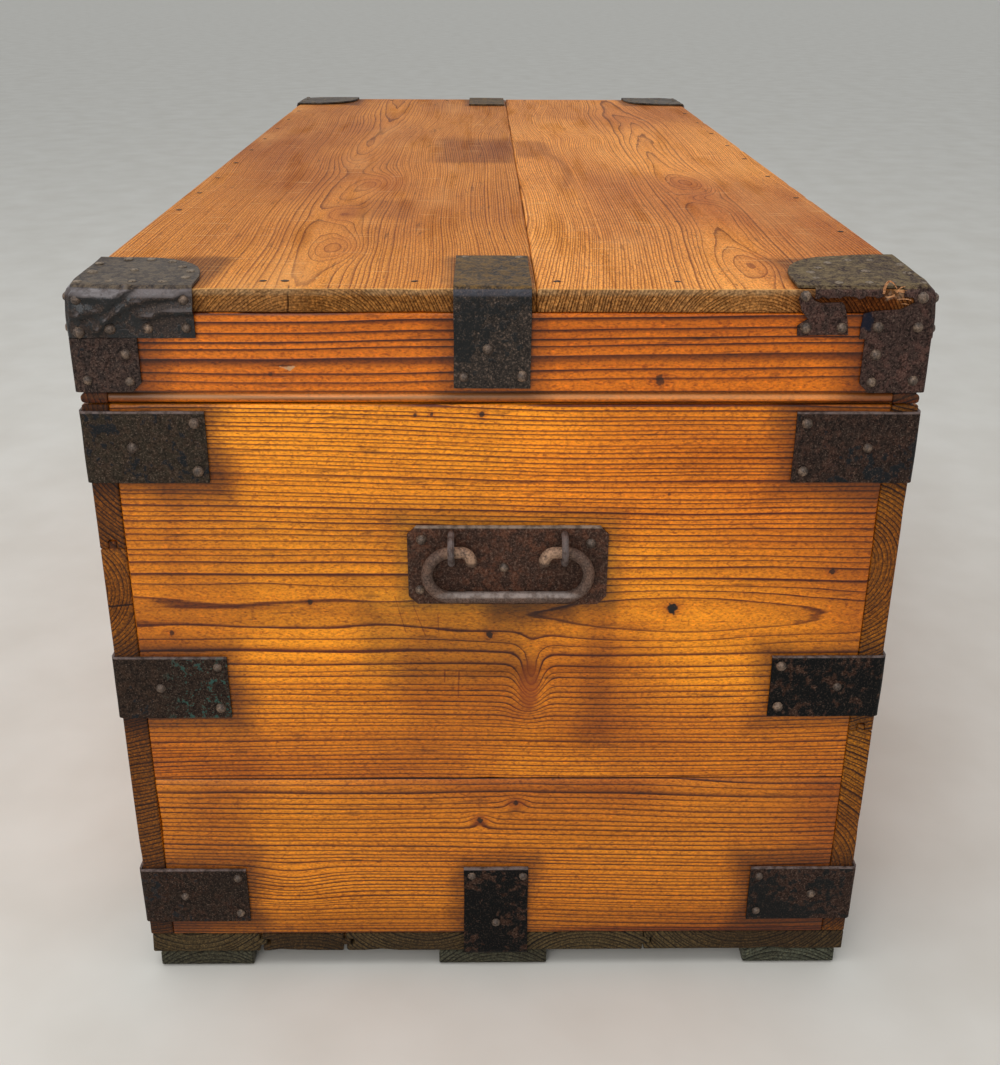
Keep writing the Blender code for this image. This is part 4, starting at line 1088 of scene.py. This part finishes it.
def creased(point):
    """How far the near left cap's end flange stands out at a point, steep below a crease and gentle above,
    and its tone there: 1 for a painted highlight on the crest, -1 for painted shade below it."""
    if point.x < END:
        return 0.0, 0.0
    here = Vector((point.y, point.z))
    height = crest = dirt = 0.0
    for line in CREASES:
        for start, end in zip(line, line[1:]):
            a, b = Vector(start), Vector(end)
            along = min(1, max(0, (here - a).dot(b - a) / (b - a).length_squared))
            away = here - (a + (b - a) * along)
            above = away.y > 0
            wide = CREASE_WIDE * (1.0 if above else CREASE_LEAN)
            height = max(height, CREASE_TALL * math.exp(-((away.length / wide) ** 2)))
            if above:
                # painted highlight on the upper side of the crease
                crest = max(crest, math.exp(-((away.length / CREST_WIDE) ** 2)))
            else:
                # dirt here is painted shade below the crease
                dirt = max(dirt, math.exp(-((away.length / CREST_WIDE - SHADE_BELOW) ** 2)))
    return height, crest - dirt


caps = [hammered("lid_cap_front_right", "cap", 40, CAP_NET, 0.0010, 0.0005, creased),
        hammered("lid_cap_back_right", "torn", 41, CAP_NET, 0.0009, 0.0006),
        hammered("lid_cap_front_left", "cap", 42, FAR_CAP_NET, 0.0012, 0.0006),
        hammered("lid_cap_back_left", "cap", 43, FAR_CAP_NET, 0.0012, 0.0006)]
print(len(caps), "caps,", faces(caps), "faces")

# %% [markdown]
# ## The tear
# The near right cap was torn away along its fold. A ragged lip of the fold is still bent over the edge of the
# lid, and where the flange went it took fibres of the board with it, a few of which still stand up and curl.
# Both could be painted on the board, but they are proud of it and catch the light. The lip is one section of
# bent sheet, swept along the edge with a foot that wanders, and each splinter is a strip that thins to a
# point, built as a row of small sections along a curve.

# %% The lip of the torn cap
LIP_FROM, LIP_TO = 0.1915, 0.2330
LIP_STEPS = 40
LIP_BEND = 0.0020
LIP_BACK = 0.0020
LIP_THICK = 0.0012
LIP_SEAT = 0.0003
LIP_ANGLES = (90, 60, 30, 0)


def tube(bm, sections):
    """Joins a row of closed sections, each a list of places, and gives back their points."""
    rows = [[bm.verts.new(place) for place in section] for section in sections]
    count = len(rows[0])
    for a, b in zip(rows, rows[1:]):
        for k in range(count):
            n = (k + 1) % count
            bm.faces.new((a[k], a[n], b[n], b[k]))
    return rows


def strip(bm, sections):
    """A tube that is closed by its first and last section."""
    rows = tube(bm, sections)
    bm.faces.new(rows[0])
    bm.faces.new(rows[-1])
    bmesh.ops.recalc_face_normals(bm, faces=bm.faces)


def lip_section(y):
    """The bent sheet across the lid's edge at one place: out over the top, round the edge and down."""
    ragged = 0.0022 * noise.noise((0.3, y * 190, 4.1)) + 0.0010 * noise.noise((y * 700, 2.2, 0.0))
    drop = max(0.0004, 0.0022 + ragged)
    inner = LIP_BEND + LIP_SEAT + 0.0004 * (1 + noise.noise((y * 120, 0.7, 9.0)))
    outer = inner + LIP_THICK
    x, z = END - LIP_BEND, LID_TOP - LIP_BEND
    turns = [math.radians(angle) for angle in LIP_ANGLES]
    places = [(x - LIP_BACK, z + outer)]
    places += [(x + outer * math.cos(a), z + outer * math.sin(a)) for a in turns]
    places += [(x + outer, z - drop), (x + inner, z - drop)]
    places += [(x + inner * math.cos(a), z + inner * math.sin(a)) for a in reversed(turns)]
    places += [(x - LIP_BACK, z + inner)]
    return [Vector((px, y, pz)) for px, pz in places]


lip_bm = bmesh.new()
strip(lip_bm, [lip_section(LIP_FROM + (LIP_TO - LIP_FROM) * i / LIP_STEPS) for i in range(LIP_STEPS + 1)])
lip = piece("torn_cap_lip", lip_bm, irons["torn"], "lid_cap_back_right", 40, added=True)
print("lip,", faces([lip]), "faces")

# %% Splinters
SLIVER_STEPS = 8
SLIVER_NARROWS, SLIVER_THINS = 0.85, 0.6
SLIVERS = [
    ((0.0010, 0.2330, -0.0020), (0.0024, 0.2336, 0.0118), (0.0008, 0.2410, 0.0012), "X", 0.0018, 0.0014),
    ((0.0008, 0.2414, -0.0014), (0.0020, 0.2424, 0.0030), (0.0006, 0.2462, 0.0022), "X", 0.0010, 0.0008),
    ((0.0004, 0.2490, -0.0014), (0.0016, 0.2450, -0.0002), (0.0012, 0.2402, -0.0004), "Z", 0.0024, 0.0008),
    ((0.0004, 0.2508, -0.0062), (0.0020, 0.2472, -0.0044), (0.0018, 0.2416, -0.0054), "Z", 0.0010, 0.0007),
    ((0.0004, 0.2494, -0.0090), (0.0016, 0.2474, -0.0078), (0.0012, 0.2446, -0.0082), "Z", 0.0007, 0.0006),
    ((0.0004, 0.2402, -0.0032), (0.0016, 0.2372, -0.0044), (0.0014, 0.2344, -0.0038), "Z", 0.0016, 0.0007),
]
SQUARE = ((-1, -1), (1, -1), (1, 1), (-1, 1))
splintered = pine("splintered_pine", "YZX", (0.500, END - 0.020), 0.0012, tint(210, 158, 114),
                  tint(158, 102, 66), 40.0, roughness=0.62, gloss=0.3)


def sliver(root, bend, tip, across, wide, thick):
    """Sections of a strip from root to tip, drawn towards bend, that gets narrower and thinner on the way."""
    sections = []
    for step in range(SLIVER_STEPS + 1):
        t = step / SLIVER_STEPS
        middle = root.lerp(bend, t).lerp(bend.lerp(tip, t), t)
        way = (bend - root).lerp(tip - bend, t).normalized()
        half = across * (wide * (1 - SLIVER_NARROWS * t) / 2)
        up = way.cross(across).normalized() * (thick * (1 - SLIVER_THINS * t) / 2)
        sections.append([middle + half * u + up * v for u, v in SQUARE])
    return sections


splinter_bm = bmesh.new()
for *curve, run, wide, thick in SLIVERS:
    points = [Vector((END + out, y, LID_TOP + up)) for out, y, up in curve]
    across = Vector([float(axis == run) for axis in "XYZ"])
    strip(splinter_bm, sliver(*points, across, wide, thick))
splinters = piece("lid_splinters", splinter_bm, splintered, "lid_top_back", 40, added=True)
print(len(SLIVERS), "splinters,", faces([splinters]), "faces")

# %% [markdown]
# ## Bails
# Each handle is a bail of round rod, open at the top, with its hooked ends through two staples. The CAD rod
# has few sides. Here the same line of arcs is swept again with a finer, slightly uneven ring, a little
# thinner as if worn, and with rough cut ends.

# %% Sweep the bails
BAIL_RADIUS = 0.0039
BAIL_SIDES = 16
BAIL_ROUGH, BAIL_WAVE = 0.035, 90
BAR_STEPS = 24
STAPLE_SPAN = 0.0745
BAIL_BEND = 0.01635
HOOK_RADIUS = 0.0070
HOOK_LEAD = 0.0060
TIP_ROUND = 0.0008


def arc(middle, radius, start, end, count):
    angles = [math.radians(start + (end - start) * i / count) for i in range(count + 1)]
    return [(middle[0] + radius * math.cos(a), middle[1] + radius * math.sin(a)) for a in angles]


def bail_line(node):
    """Points along a bail: one hook, a bend, the bar, and the same again the other way round."""
    low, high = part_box(node)
    x, y, top = (low.x + high.x) / 2, (low.y + high.y) / 2, high.z - ROD_HALF
    half = STAPLE_SPAN / 2
    right = arc((half - HOOK_LEAD, -HOOK_RADIUS), HOOK_RADIUS, 195, 90, 14)
    right += arc((half, -BAIL_BEND), BAIL_BEND, 90, -90, 30)
    bar = [(half - 2 * half * i / BAR_STEPS, -2 * BAIL_BEND) for i in range(1, BAR_STEPS)]
    line = right + bar + [(-s, v) for s, v in reversed(right)]
    return [Vector((x, y + s, top + v)) for s, v in line]


def bail(node, seed):
    points = bail_line(node)
    across = Vector((1, 0, 0))
    sections = []
    for i, point in enumerate(points):
        over = (points[min(i + 1, len(points) - 1)] - points[max(i - 1, 0)]).normalized().cross(across)
        section = []
        for k in range(BAIL_SIDES):
            angle = 2 * math.pi * k / BAIL_SIDES
            out = across * math.cos(angle) + over * math.sin(angle)
            uneven = noise.noise(point * BAIL_WAVE + out * 1.2 + Vector((seed, 0, 0)))
            section.append(point + out * BAIL_RADIUS * (1 + BAIL_ROUGH * uneven))
        sections.append(section)
    bm = bmesh.new()
    rings = tube(bm, sections)
    for ring, outwards in ((rings[0], points[0] - points[1]), (rings[-1], points[-1] - points[-2])):
        middle = sum((v.co for v in ring), Vector()) / BAIL_SIDES
        tip = bm.verts.new(middle + outwards.normalized() * TIP_ROUND)
        for k in range(BAIL_SIDES):
            bm.faces.new((ring[k], ring[(k + 1) % BAIL_SIDES], tip))
    bmesh.ops.recalc_face_normals(bm, faces=bm.faces)
    return piece(f"{node}_rod", bm, irons["bail"], node, smooth=50)


bails = [bail("bail_right", 1), bail("bail_left", 2)]
print(len(bails), "bails,", faces(bails), "faces")

# %% [markdown]
# ## Nails
# Every strap and cap is held by nails with domed heads, and the boards of the lid, the walls and the floor by
# brads that are nearly flush. They all repeat one shape, which is what Geometry Nodes are for: points with
# a direction go in, a squashed ball is set on each, and a little noise makes every head its own. One tree
# serves them all, because the width and the height of the head are its inputs.

# %% The nail tree
def new_tree(name, output, *sizes):
    """A tree that takes points, sizes, a seed and an iron, with those inputs as Shades."""
    tree = bpy.data.node_groups.new(name, "GeometryNodeTree")
    kinds = {"Points": "Geometry", **dict.fromkeys(sizes, "Float"), "Seed": "Int", "Iron": "Material"}
    for label, kind in kinds.items():
        tree.interface.new_socket(label, in_out="INPUT", socket_type=f"NodeSocket{kind}")
    tree.interface.new_socket(output, in_out="OUTPUT", socket_type="NodeSocketGeometry")
    given = tree.nodes.new("NodeGroupInput").outputs
    return tree, {label: Shade(tree, given[label]) for label in kinds}


def set_on(given, shape, **more):
    """A shape on every point, with its Z axis along the point's facing."""
    facing = shape.node("GeometryNodeInputNamedAttribute", {"data_type": "FLOAT_VECTOR"},
                        {"Name": "facing"}, "Attribute")
    turn = shape.node("FunctionNodeAlignRotationToVector", {"axis": "Z"}, {"Vector": facing})
    return shape.node("GeometryNodeInstanceOnPoints", None,
                      {"Points": given["Points"], "Instance": shape, "Rotation": turn, **more})


def dressed(tree, given, flow):
    """Ends a tree with what flows there, in its iron."""
    iron_on = flow.node("GeometryNodeSetMaterial", None, {"Geometry": flow, "Material": given["Iron"]})
    tree.links.new(iron_on.socket, tree.nodes.new("NodeGroupOutput").inputs[0])
    print(tree.name, len(tree.nodes), "nodes")
    return tree


def nail_tree():
    tree, given = new_tree("driven_nails", "Nails", "Head Width", "Head Height", "Roughness")
    wide = given["Head Width"]
    ball = wide.node("GeometryNodeMeshUVSphere", None, {"Segments": 9, "Rings": 5, "Radius": 0.5})
    size = wide.node("ShaderNodeCombineXYZ", None, {0: wide, 1: wide, 2: given["Head Height"] * 2.0})
    head = ball.node("GeometryNodeTransform", None, {"Geometry": ball, "Scale": size})
    girth = wide.node("FunctionNodeRandomValue", {"data_type": "FLOAT"},
                      {2: 0.88, 3: 1.12, "Seed": given["Seed"]}, 1)
    real = head.node("GeometryNodeRealizeInstances", None, {"Geometry": set_on(given, head, Scale=girth)})
    wobble = wide.node("ShaderNodeTexNoise", None, {"Scale": 260.0, "Detail": 1.0}, "Color")
    middle = wobble.node("ShaderNodeVectorMath", {"operation": "SUBTRACT"}, {0: wobble, 1: (0.5, 0.5, 0.5)})
    push = middle.node("ShaderNodeVectorMath", {"operation": "SCALE"},
                       {0: middle, "Scale": given["Roughness"]})
    moved = real.node("GeometryNodeSetPosition", None, {"Geometry": real, "Offset": push})
    return dressed(tree, given, moved.node("GeometryNodeSetShadeSmooth", None, {"Geometry": moved}))


NAIL_TREE = nail_tree()


# %% Set a tree's shapes on points
def planted(name, spots, body, tree, sizes, seed):
    """One mesh of a tree's shapes on a body, from a list of (place, facing)."""
    mesh = bpy.data.meshes.new(name)
    mesh.from_pydata([place for place, facing in spots], [], [])
    facings = mesh.attributes.new("facing", "FLOAT_VECTOR", "POINT")
    facings.data.foreach_set("vector", [c for place, facing in spots for c in facing])
    made = linked(name, mesh)
    nodes = made.modifiers.new(tree.name, "NODES")
    nodes.node_group = tree
    for item in tree.interface.items_tree:
        if item.in_out == "INPUT" and item.name != "Points":
            nodes[item.identifier] = seed if item.name == "Seed" else sizes[item.name]
    plain = bpy.data.meshes.new_from_object(made.evaluated_get(bpy.context.evaluated_depsgraph_get()))
    made.modifiers.clear()
    made.data = plain
    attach(made, body)
    print(name, len(spots), "heads,", len(plain.polygons), "faces")


def head_sizes(width, height, rough, metal):
    return {"Head Width": width, "Head Height": height, "Roughness": rough, "Iron": irons[metal]}


DOMED = head_sizes(0.0072, 0.0033, 0.0007, "nail")
FLAT = head_sizes(0.0062, 0.0009, 0.0009, "flat_nail")
BRAD = head_sizes(0.0052, 0.0005, 0.0008, "brad")
FLOOR_NAIL = head_sizes(0.0062, 0.0005, 0.0006, "brad")
print("head widths", [kind["Head Width"] for kind in (DOMED, FLAT, BRAD, FLOOR_NAIL)])

# %% Nails of the straps and plates
STRAP_NAILS = ((0.0065, 0.0165), (0.0068, -0.0160), (0.0470, 0.0))
FOOT_NAILS = ((-0.0204, 0.0871), (0.0178, 0.0868), (-0.0023, 0.0435))
PLATE_NAILS = ((-0.0526, 0.3624), (0.0593, 0.3597), (0.0020, 0.3421), (-0.0543, 0.3258))
LID_STRAP_NAILS = ((-0.0088, 0.4916), (-0.0238, 0.4736), (0.0125, 0.4742))
PLATE_FACE = END + 0.0023

nails = {"chest": [], "lid": []}
for sy, side in ((-1, "front"), (1, "back")):
    for sx, end in ((1, "right"), (-1, "left")):
        for level in LEVELS:
            low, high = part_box(f"strap_{side}_{end}_{level}")
            x_face = high.x if sx > 0 else low.x
            y_face = high.y if sy > 0 else low.y
            for inset, rise in STRAP_NAILS:
                z = (low.z + high.z) / 2 + rise
                nails["chest"].append(((x_face, sy * (STRAP_Y + inset), z), (sx, 0, 0)))
                nails["chest"].append(((sx * (STRAP_X + inset), y_face, z), (0, sy, 0)))
for sx in (1, -1):
    for body, face, spots in (("chest", FOOT_STRAP[1].x, FOOT_NAILS), ("chest", PLATE_FACE, PLATE_NAILS),
                              ("lid", LID_STRAP[1].x, LID_STRAP_NAILS)):
        nails[body] += [((sx * face, y, z), (sx, 0, 0)) for y, z in spots]
print({body: len(spots) for body, spots in nails.items()})

# %% Nails of the caps and angles
CAP_END = ((0.2590, 0.5220), (0.1940, 0.5220), (0.2595, 0.5020), (0.2404, 0.5040), (0.2171, 0.5046),
           (0.1936, 0.5047))
TORN_END = ((0.2319, 0.5059), (0.2567, 0.5059), (0.2573, 0.5241))
SCRAP_END = ((0.1852, 0.5250), (0.1872, 0.5053), (0.2095, 0.5053))
CAP_SIDE = ((0.5780, 0.5220), (0.4975, 0.5215), (0.5790, 0.5030), (0.5520, 0.5045), (0.5250, 0.5040),
            (0.4980, 0.5045))
CAP_TOP = ((0.2600, 0.0085), (0.2581, 0.0352), (0.2605, 0.0602), (0.2449, 0.0735), (0.2297, 0.0730),
           (0.2145, 0.0655), (0.2047, 0.0503), (0.1970, 0.0379), (0.1965, 0.0208), (0.2080, 0.0090),
           (0.2269, 0.0095), (0.2413, 0.0102), (0.2330, 0.0409))
ANGLE_END = ((0.2325, 0.4882), (0.2320, 0.4705), (0.2580, 0.4715))
ANGLE_SIDE = ((0.5310, 0.4880), (0.5310, 0.4710), (0.5750, 0.4715))
LID_STRAP_TOP = (-0.0235, 0.0125)

UP = (0, 0, 1)
flat_nails = []
for sx in (1, -1):
    for sy in (-1, 1):
        ends = TORN_END if (sx, sy) == (1, 1) else CAP_END
        nails["lid"] += [((sx * CAP[1].x, sy * y, z), (sx, 0, 0)) for y, z in ends + ANGLE_END]
        nails["lid"] += [((sx * x, -sy * CAP[0].y, z), (0, sy, 0)) for x, z in CAP_SIDE + ANGLE_SIDE]
        flat_nails += [((sx * (END - depth), sy * y, CAP[1].z + 0.0005), UP) for y, depth in CAP_TOP]
    flat_nails += [((sx * (LID_STRAP[0].x + 0.005), y, LID_STRAP[1].z), UP) for y in LID_STRAP_TOP]
nails["lid"] += [((CAP[1].x, y, z), (1, 0, 0)) for y, z in SCRAP_END]
planted("chest_nails", nails["chest"], "chest", NAIL_TREE, DOMED, 3)
planted("lid_nails", nails["lid"], "lid", NAIL_TREE, DOMED, 4)
planted("lid_flat_nails", flat_nails, "lid", NAIL_TREE, FLAT, 5)

# %% Brads in the boards
LID_FRONT = (0.2696, 0.3518, 0.4347, 0.5300, 0.6240, 0.7160, 0.8120, 0.9080, 1.0050)
LID_BACK = (0.1860, 0.3346, 0.4534, 0.5692, 0.6710, 0.7780, 0.8850, 0.9900)
LID_NEAR = (-0.1489, -0.1352, -0.0546, 0.0343, 0.1098)
LID_FAR = (-0.1410, -0.0620, 0.0480, 0.1250)
WALL_ROWS = (0.112, 0.148, 0.182, 0.214, 0.288, 0.322, 0.356, 0.388)
LID_INSET = 0.2540
WALL_INSET = 0.0085

lid_brads = [(END - depth, -LID_INSET) for depth in LID_FRONT]
lid_brads += [(END - depth, LID_INSET) for depth in LID_BACK]
lid_brads += [(END - 0.0217, y) for y in LID_NEAR] + [(0.0200 - END, y) for y in LID_FAR]
planted("lid_brads", [((x, y, LID_TOP), UP) for x, y in lid_brads], "lid", NAIL_TREE,
        BRAD, 6)


def wall_brad(sx, sy, z):
    """A brad through a long wall into the end of the short one, a little out of line with the next."""
    x = END - WALL_INSET + 0.0012 * math.sin(70 * z + sy)
    return (sx * x, sy * SIDE, z + 0.004 * math.cos(190 * z * sx)), (0, sy, 0)


wall_brads = [wall_brad(sx, sy, z) for sx in (1, -1) for sy in (1, -1) for z in WALL_ROWS]
planted("chest_brads", wall_brads, "chest", NAIL_TREE, BRAD, 7)

# %% Nails under the floor
RUNNER_ROWS = (-0.540, -0.330, -0.110, 0.110, 0.330, 0.540)
RUNNER_STAGGER = 0.010
FLOOR_SHARES = (0.25, 0.75)
DOWN = (0, 0, -1)

under = []
for name in RUNNERS:
    low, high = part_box(f"runner_{name}")
    for number, x in enumerate(RUNNER_ROWS):
        y = (low.y + high.y) / 2 + RUNNER_STAGGER * (-1) ** number
        under.append(((x, y, low.z + 0.0005), DOWN))
for number in range(1, len(FLOOR_HEARTS) + 1):
    low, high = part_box(f"floor_{number}")
    for share in FLOOR_SHARES:
        y = low.y + (high.y - low.y) * share
        under += [((sx * (END - WALL_INSET), y, low.z), DOWN) for sx in (1, -1)]
planted("floor_nails", under, "chest", NAIL_TREE, FLOOR_NAIL, 10)

# %% [markdown]
# ## Hinges, lock and their screws
# The hinges and the lock are let into the wood, and show when the lid is up. Their solids are right as they
# are, so they stay and only get a metal. Slotted screws hold them. Two half discs would make such a head
# too, but a tree can cut the slot itself: a low cone, less a bar, set on each point and turned at random,
# because no two screws stop at the same place.

# %% Fittings
for node, thing in NODES.items():
    if SLOT[node] == "fittings_iron" and not thing.hide_render:
        for place_in_list in thing.material_slots:
            place_in_list.material = irons["fitting"]
print([node for node in NODES if not NODES[node].hide_render])


# %% The screw tree
def screw_tree():
    tree, given = new_tree("slotted_screws", "Screws", "Head Width", "Head Height", "Slot Width")
    wide, tall = given["Head Width"], given["Head Height"]

    def lifted(shape, height):
        shift = height.node("ShaderNodeCombineXYZ", None, {2: height})
        return shape.node("GeometryNodeTransform", None, {"Geometry": shape, "Translation": shift})

    head = wide.node("GeometryNodeMeshCone", None, {
        "Vertices": 18, "Radius Top": wide * 0.44, "Radius Bottom": wide * 0.5, "Depth": tall * 2.0})
    bar = wide.node("ShaderNodeCombineXYZ", None, {0: wide * 1.2, 1: given["Slot Width"], 2: tall * 1.8})
    slot = bar.node("GeometryNodeMeshCube", None, {"Size": bar})
    cut = head.node("GeometryNodeMeshBoolean", {"operation": "DIFFERENCE"},
                    {"Mesh 1": lifted(head, tall * -1.0), "Mesh 2": lifted(slot, tall * 2.0)})
    stop = wide.node("FunctionNodeRandomValue", {"data_type": "FLOAT_VECTOR"},
                     {0: (0, 0, 0), 1: (0, 0, math.tau), "Seed": given["Seed"]})
    turned = cut.node("GeometryNodeRotateInstances", None,
                      {"Instances": set_on(given, cut), "Rotation": stop})
    real = turned.node("GeometryNodeRealizeInstances", None, {"Geometry": turned})
    return dressed(tree, given, real)


SCREW_TREE = screw_tree()

# %% Drive the screws
SCREW = {"Head Width": 0.0056, "Head Height": 0.00035, "Slot Width": 0.0009, "Iron": irons["screw"]}
WALL_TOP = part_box("back_upper")[1].z
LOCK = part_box("lock_case")
HINGE_X, HINGE_Y = (0.338, 0.360, 0.382), 0.2577
LOCK_X, LOCK_Z = 0.031, (0.4115, 0.4360)
LINK_X, LINK_Y = 0.0190, -0.2543

chest_screws = [((sx * x, HINGE_Y, WALL_TOP), UP) for sx in (1, -1) for x in HINGE_X]
chest_screws += [((sx * LOCK_X, LOCK[1].y, z), (0, 1, 0)) for sx in (1, -1) for z in LOCK_Z]
lid_screws = [((sx * x, HINGE_Y, LID_BASE), DOWN) for sx in (1, -1) for x in HINGE_X]
lid_screws += [((sx * LINK_X, LINK_Y, LID_BASE), DOWN) for sx in (1, -1)]
planted("chest_screws", chest_screws, "chest", SCREW_TREE, SCREW, 8)
planted("lid_screws", lid_screws, "lid", SCREW_TREE, SCREW, 9)

# %% [markdown]
# ## Sizes and the end
# The dressed trunk has to stay close to the box of its solids, and its nail heads stand a little past it.
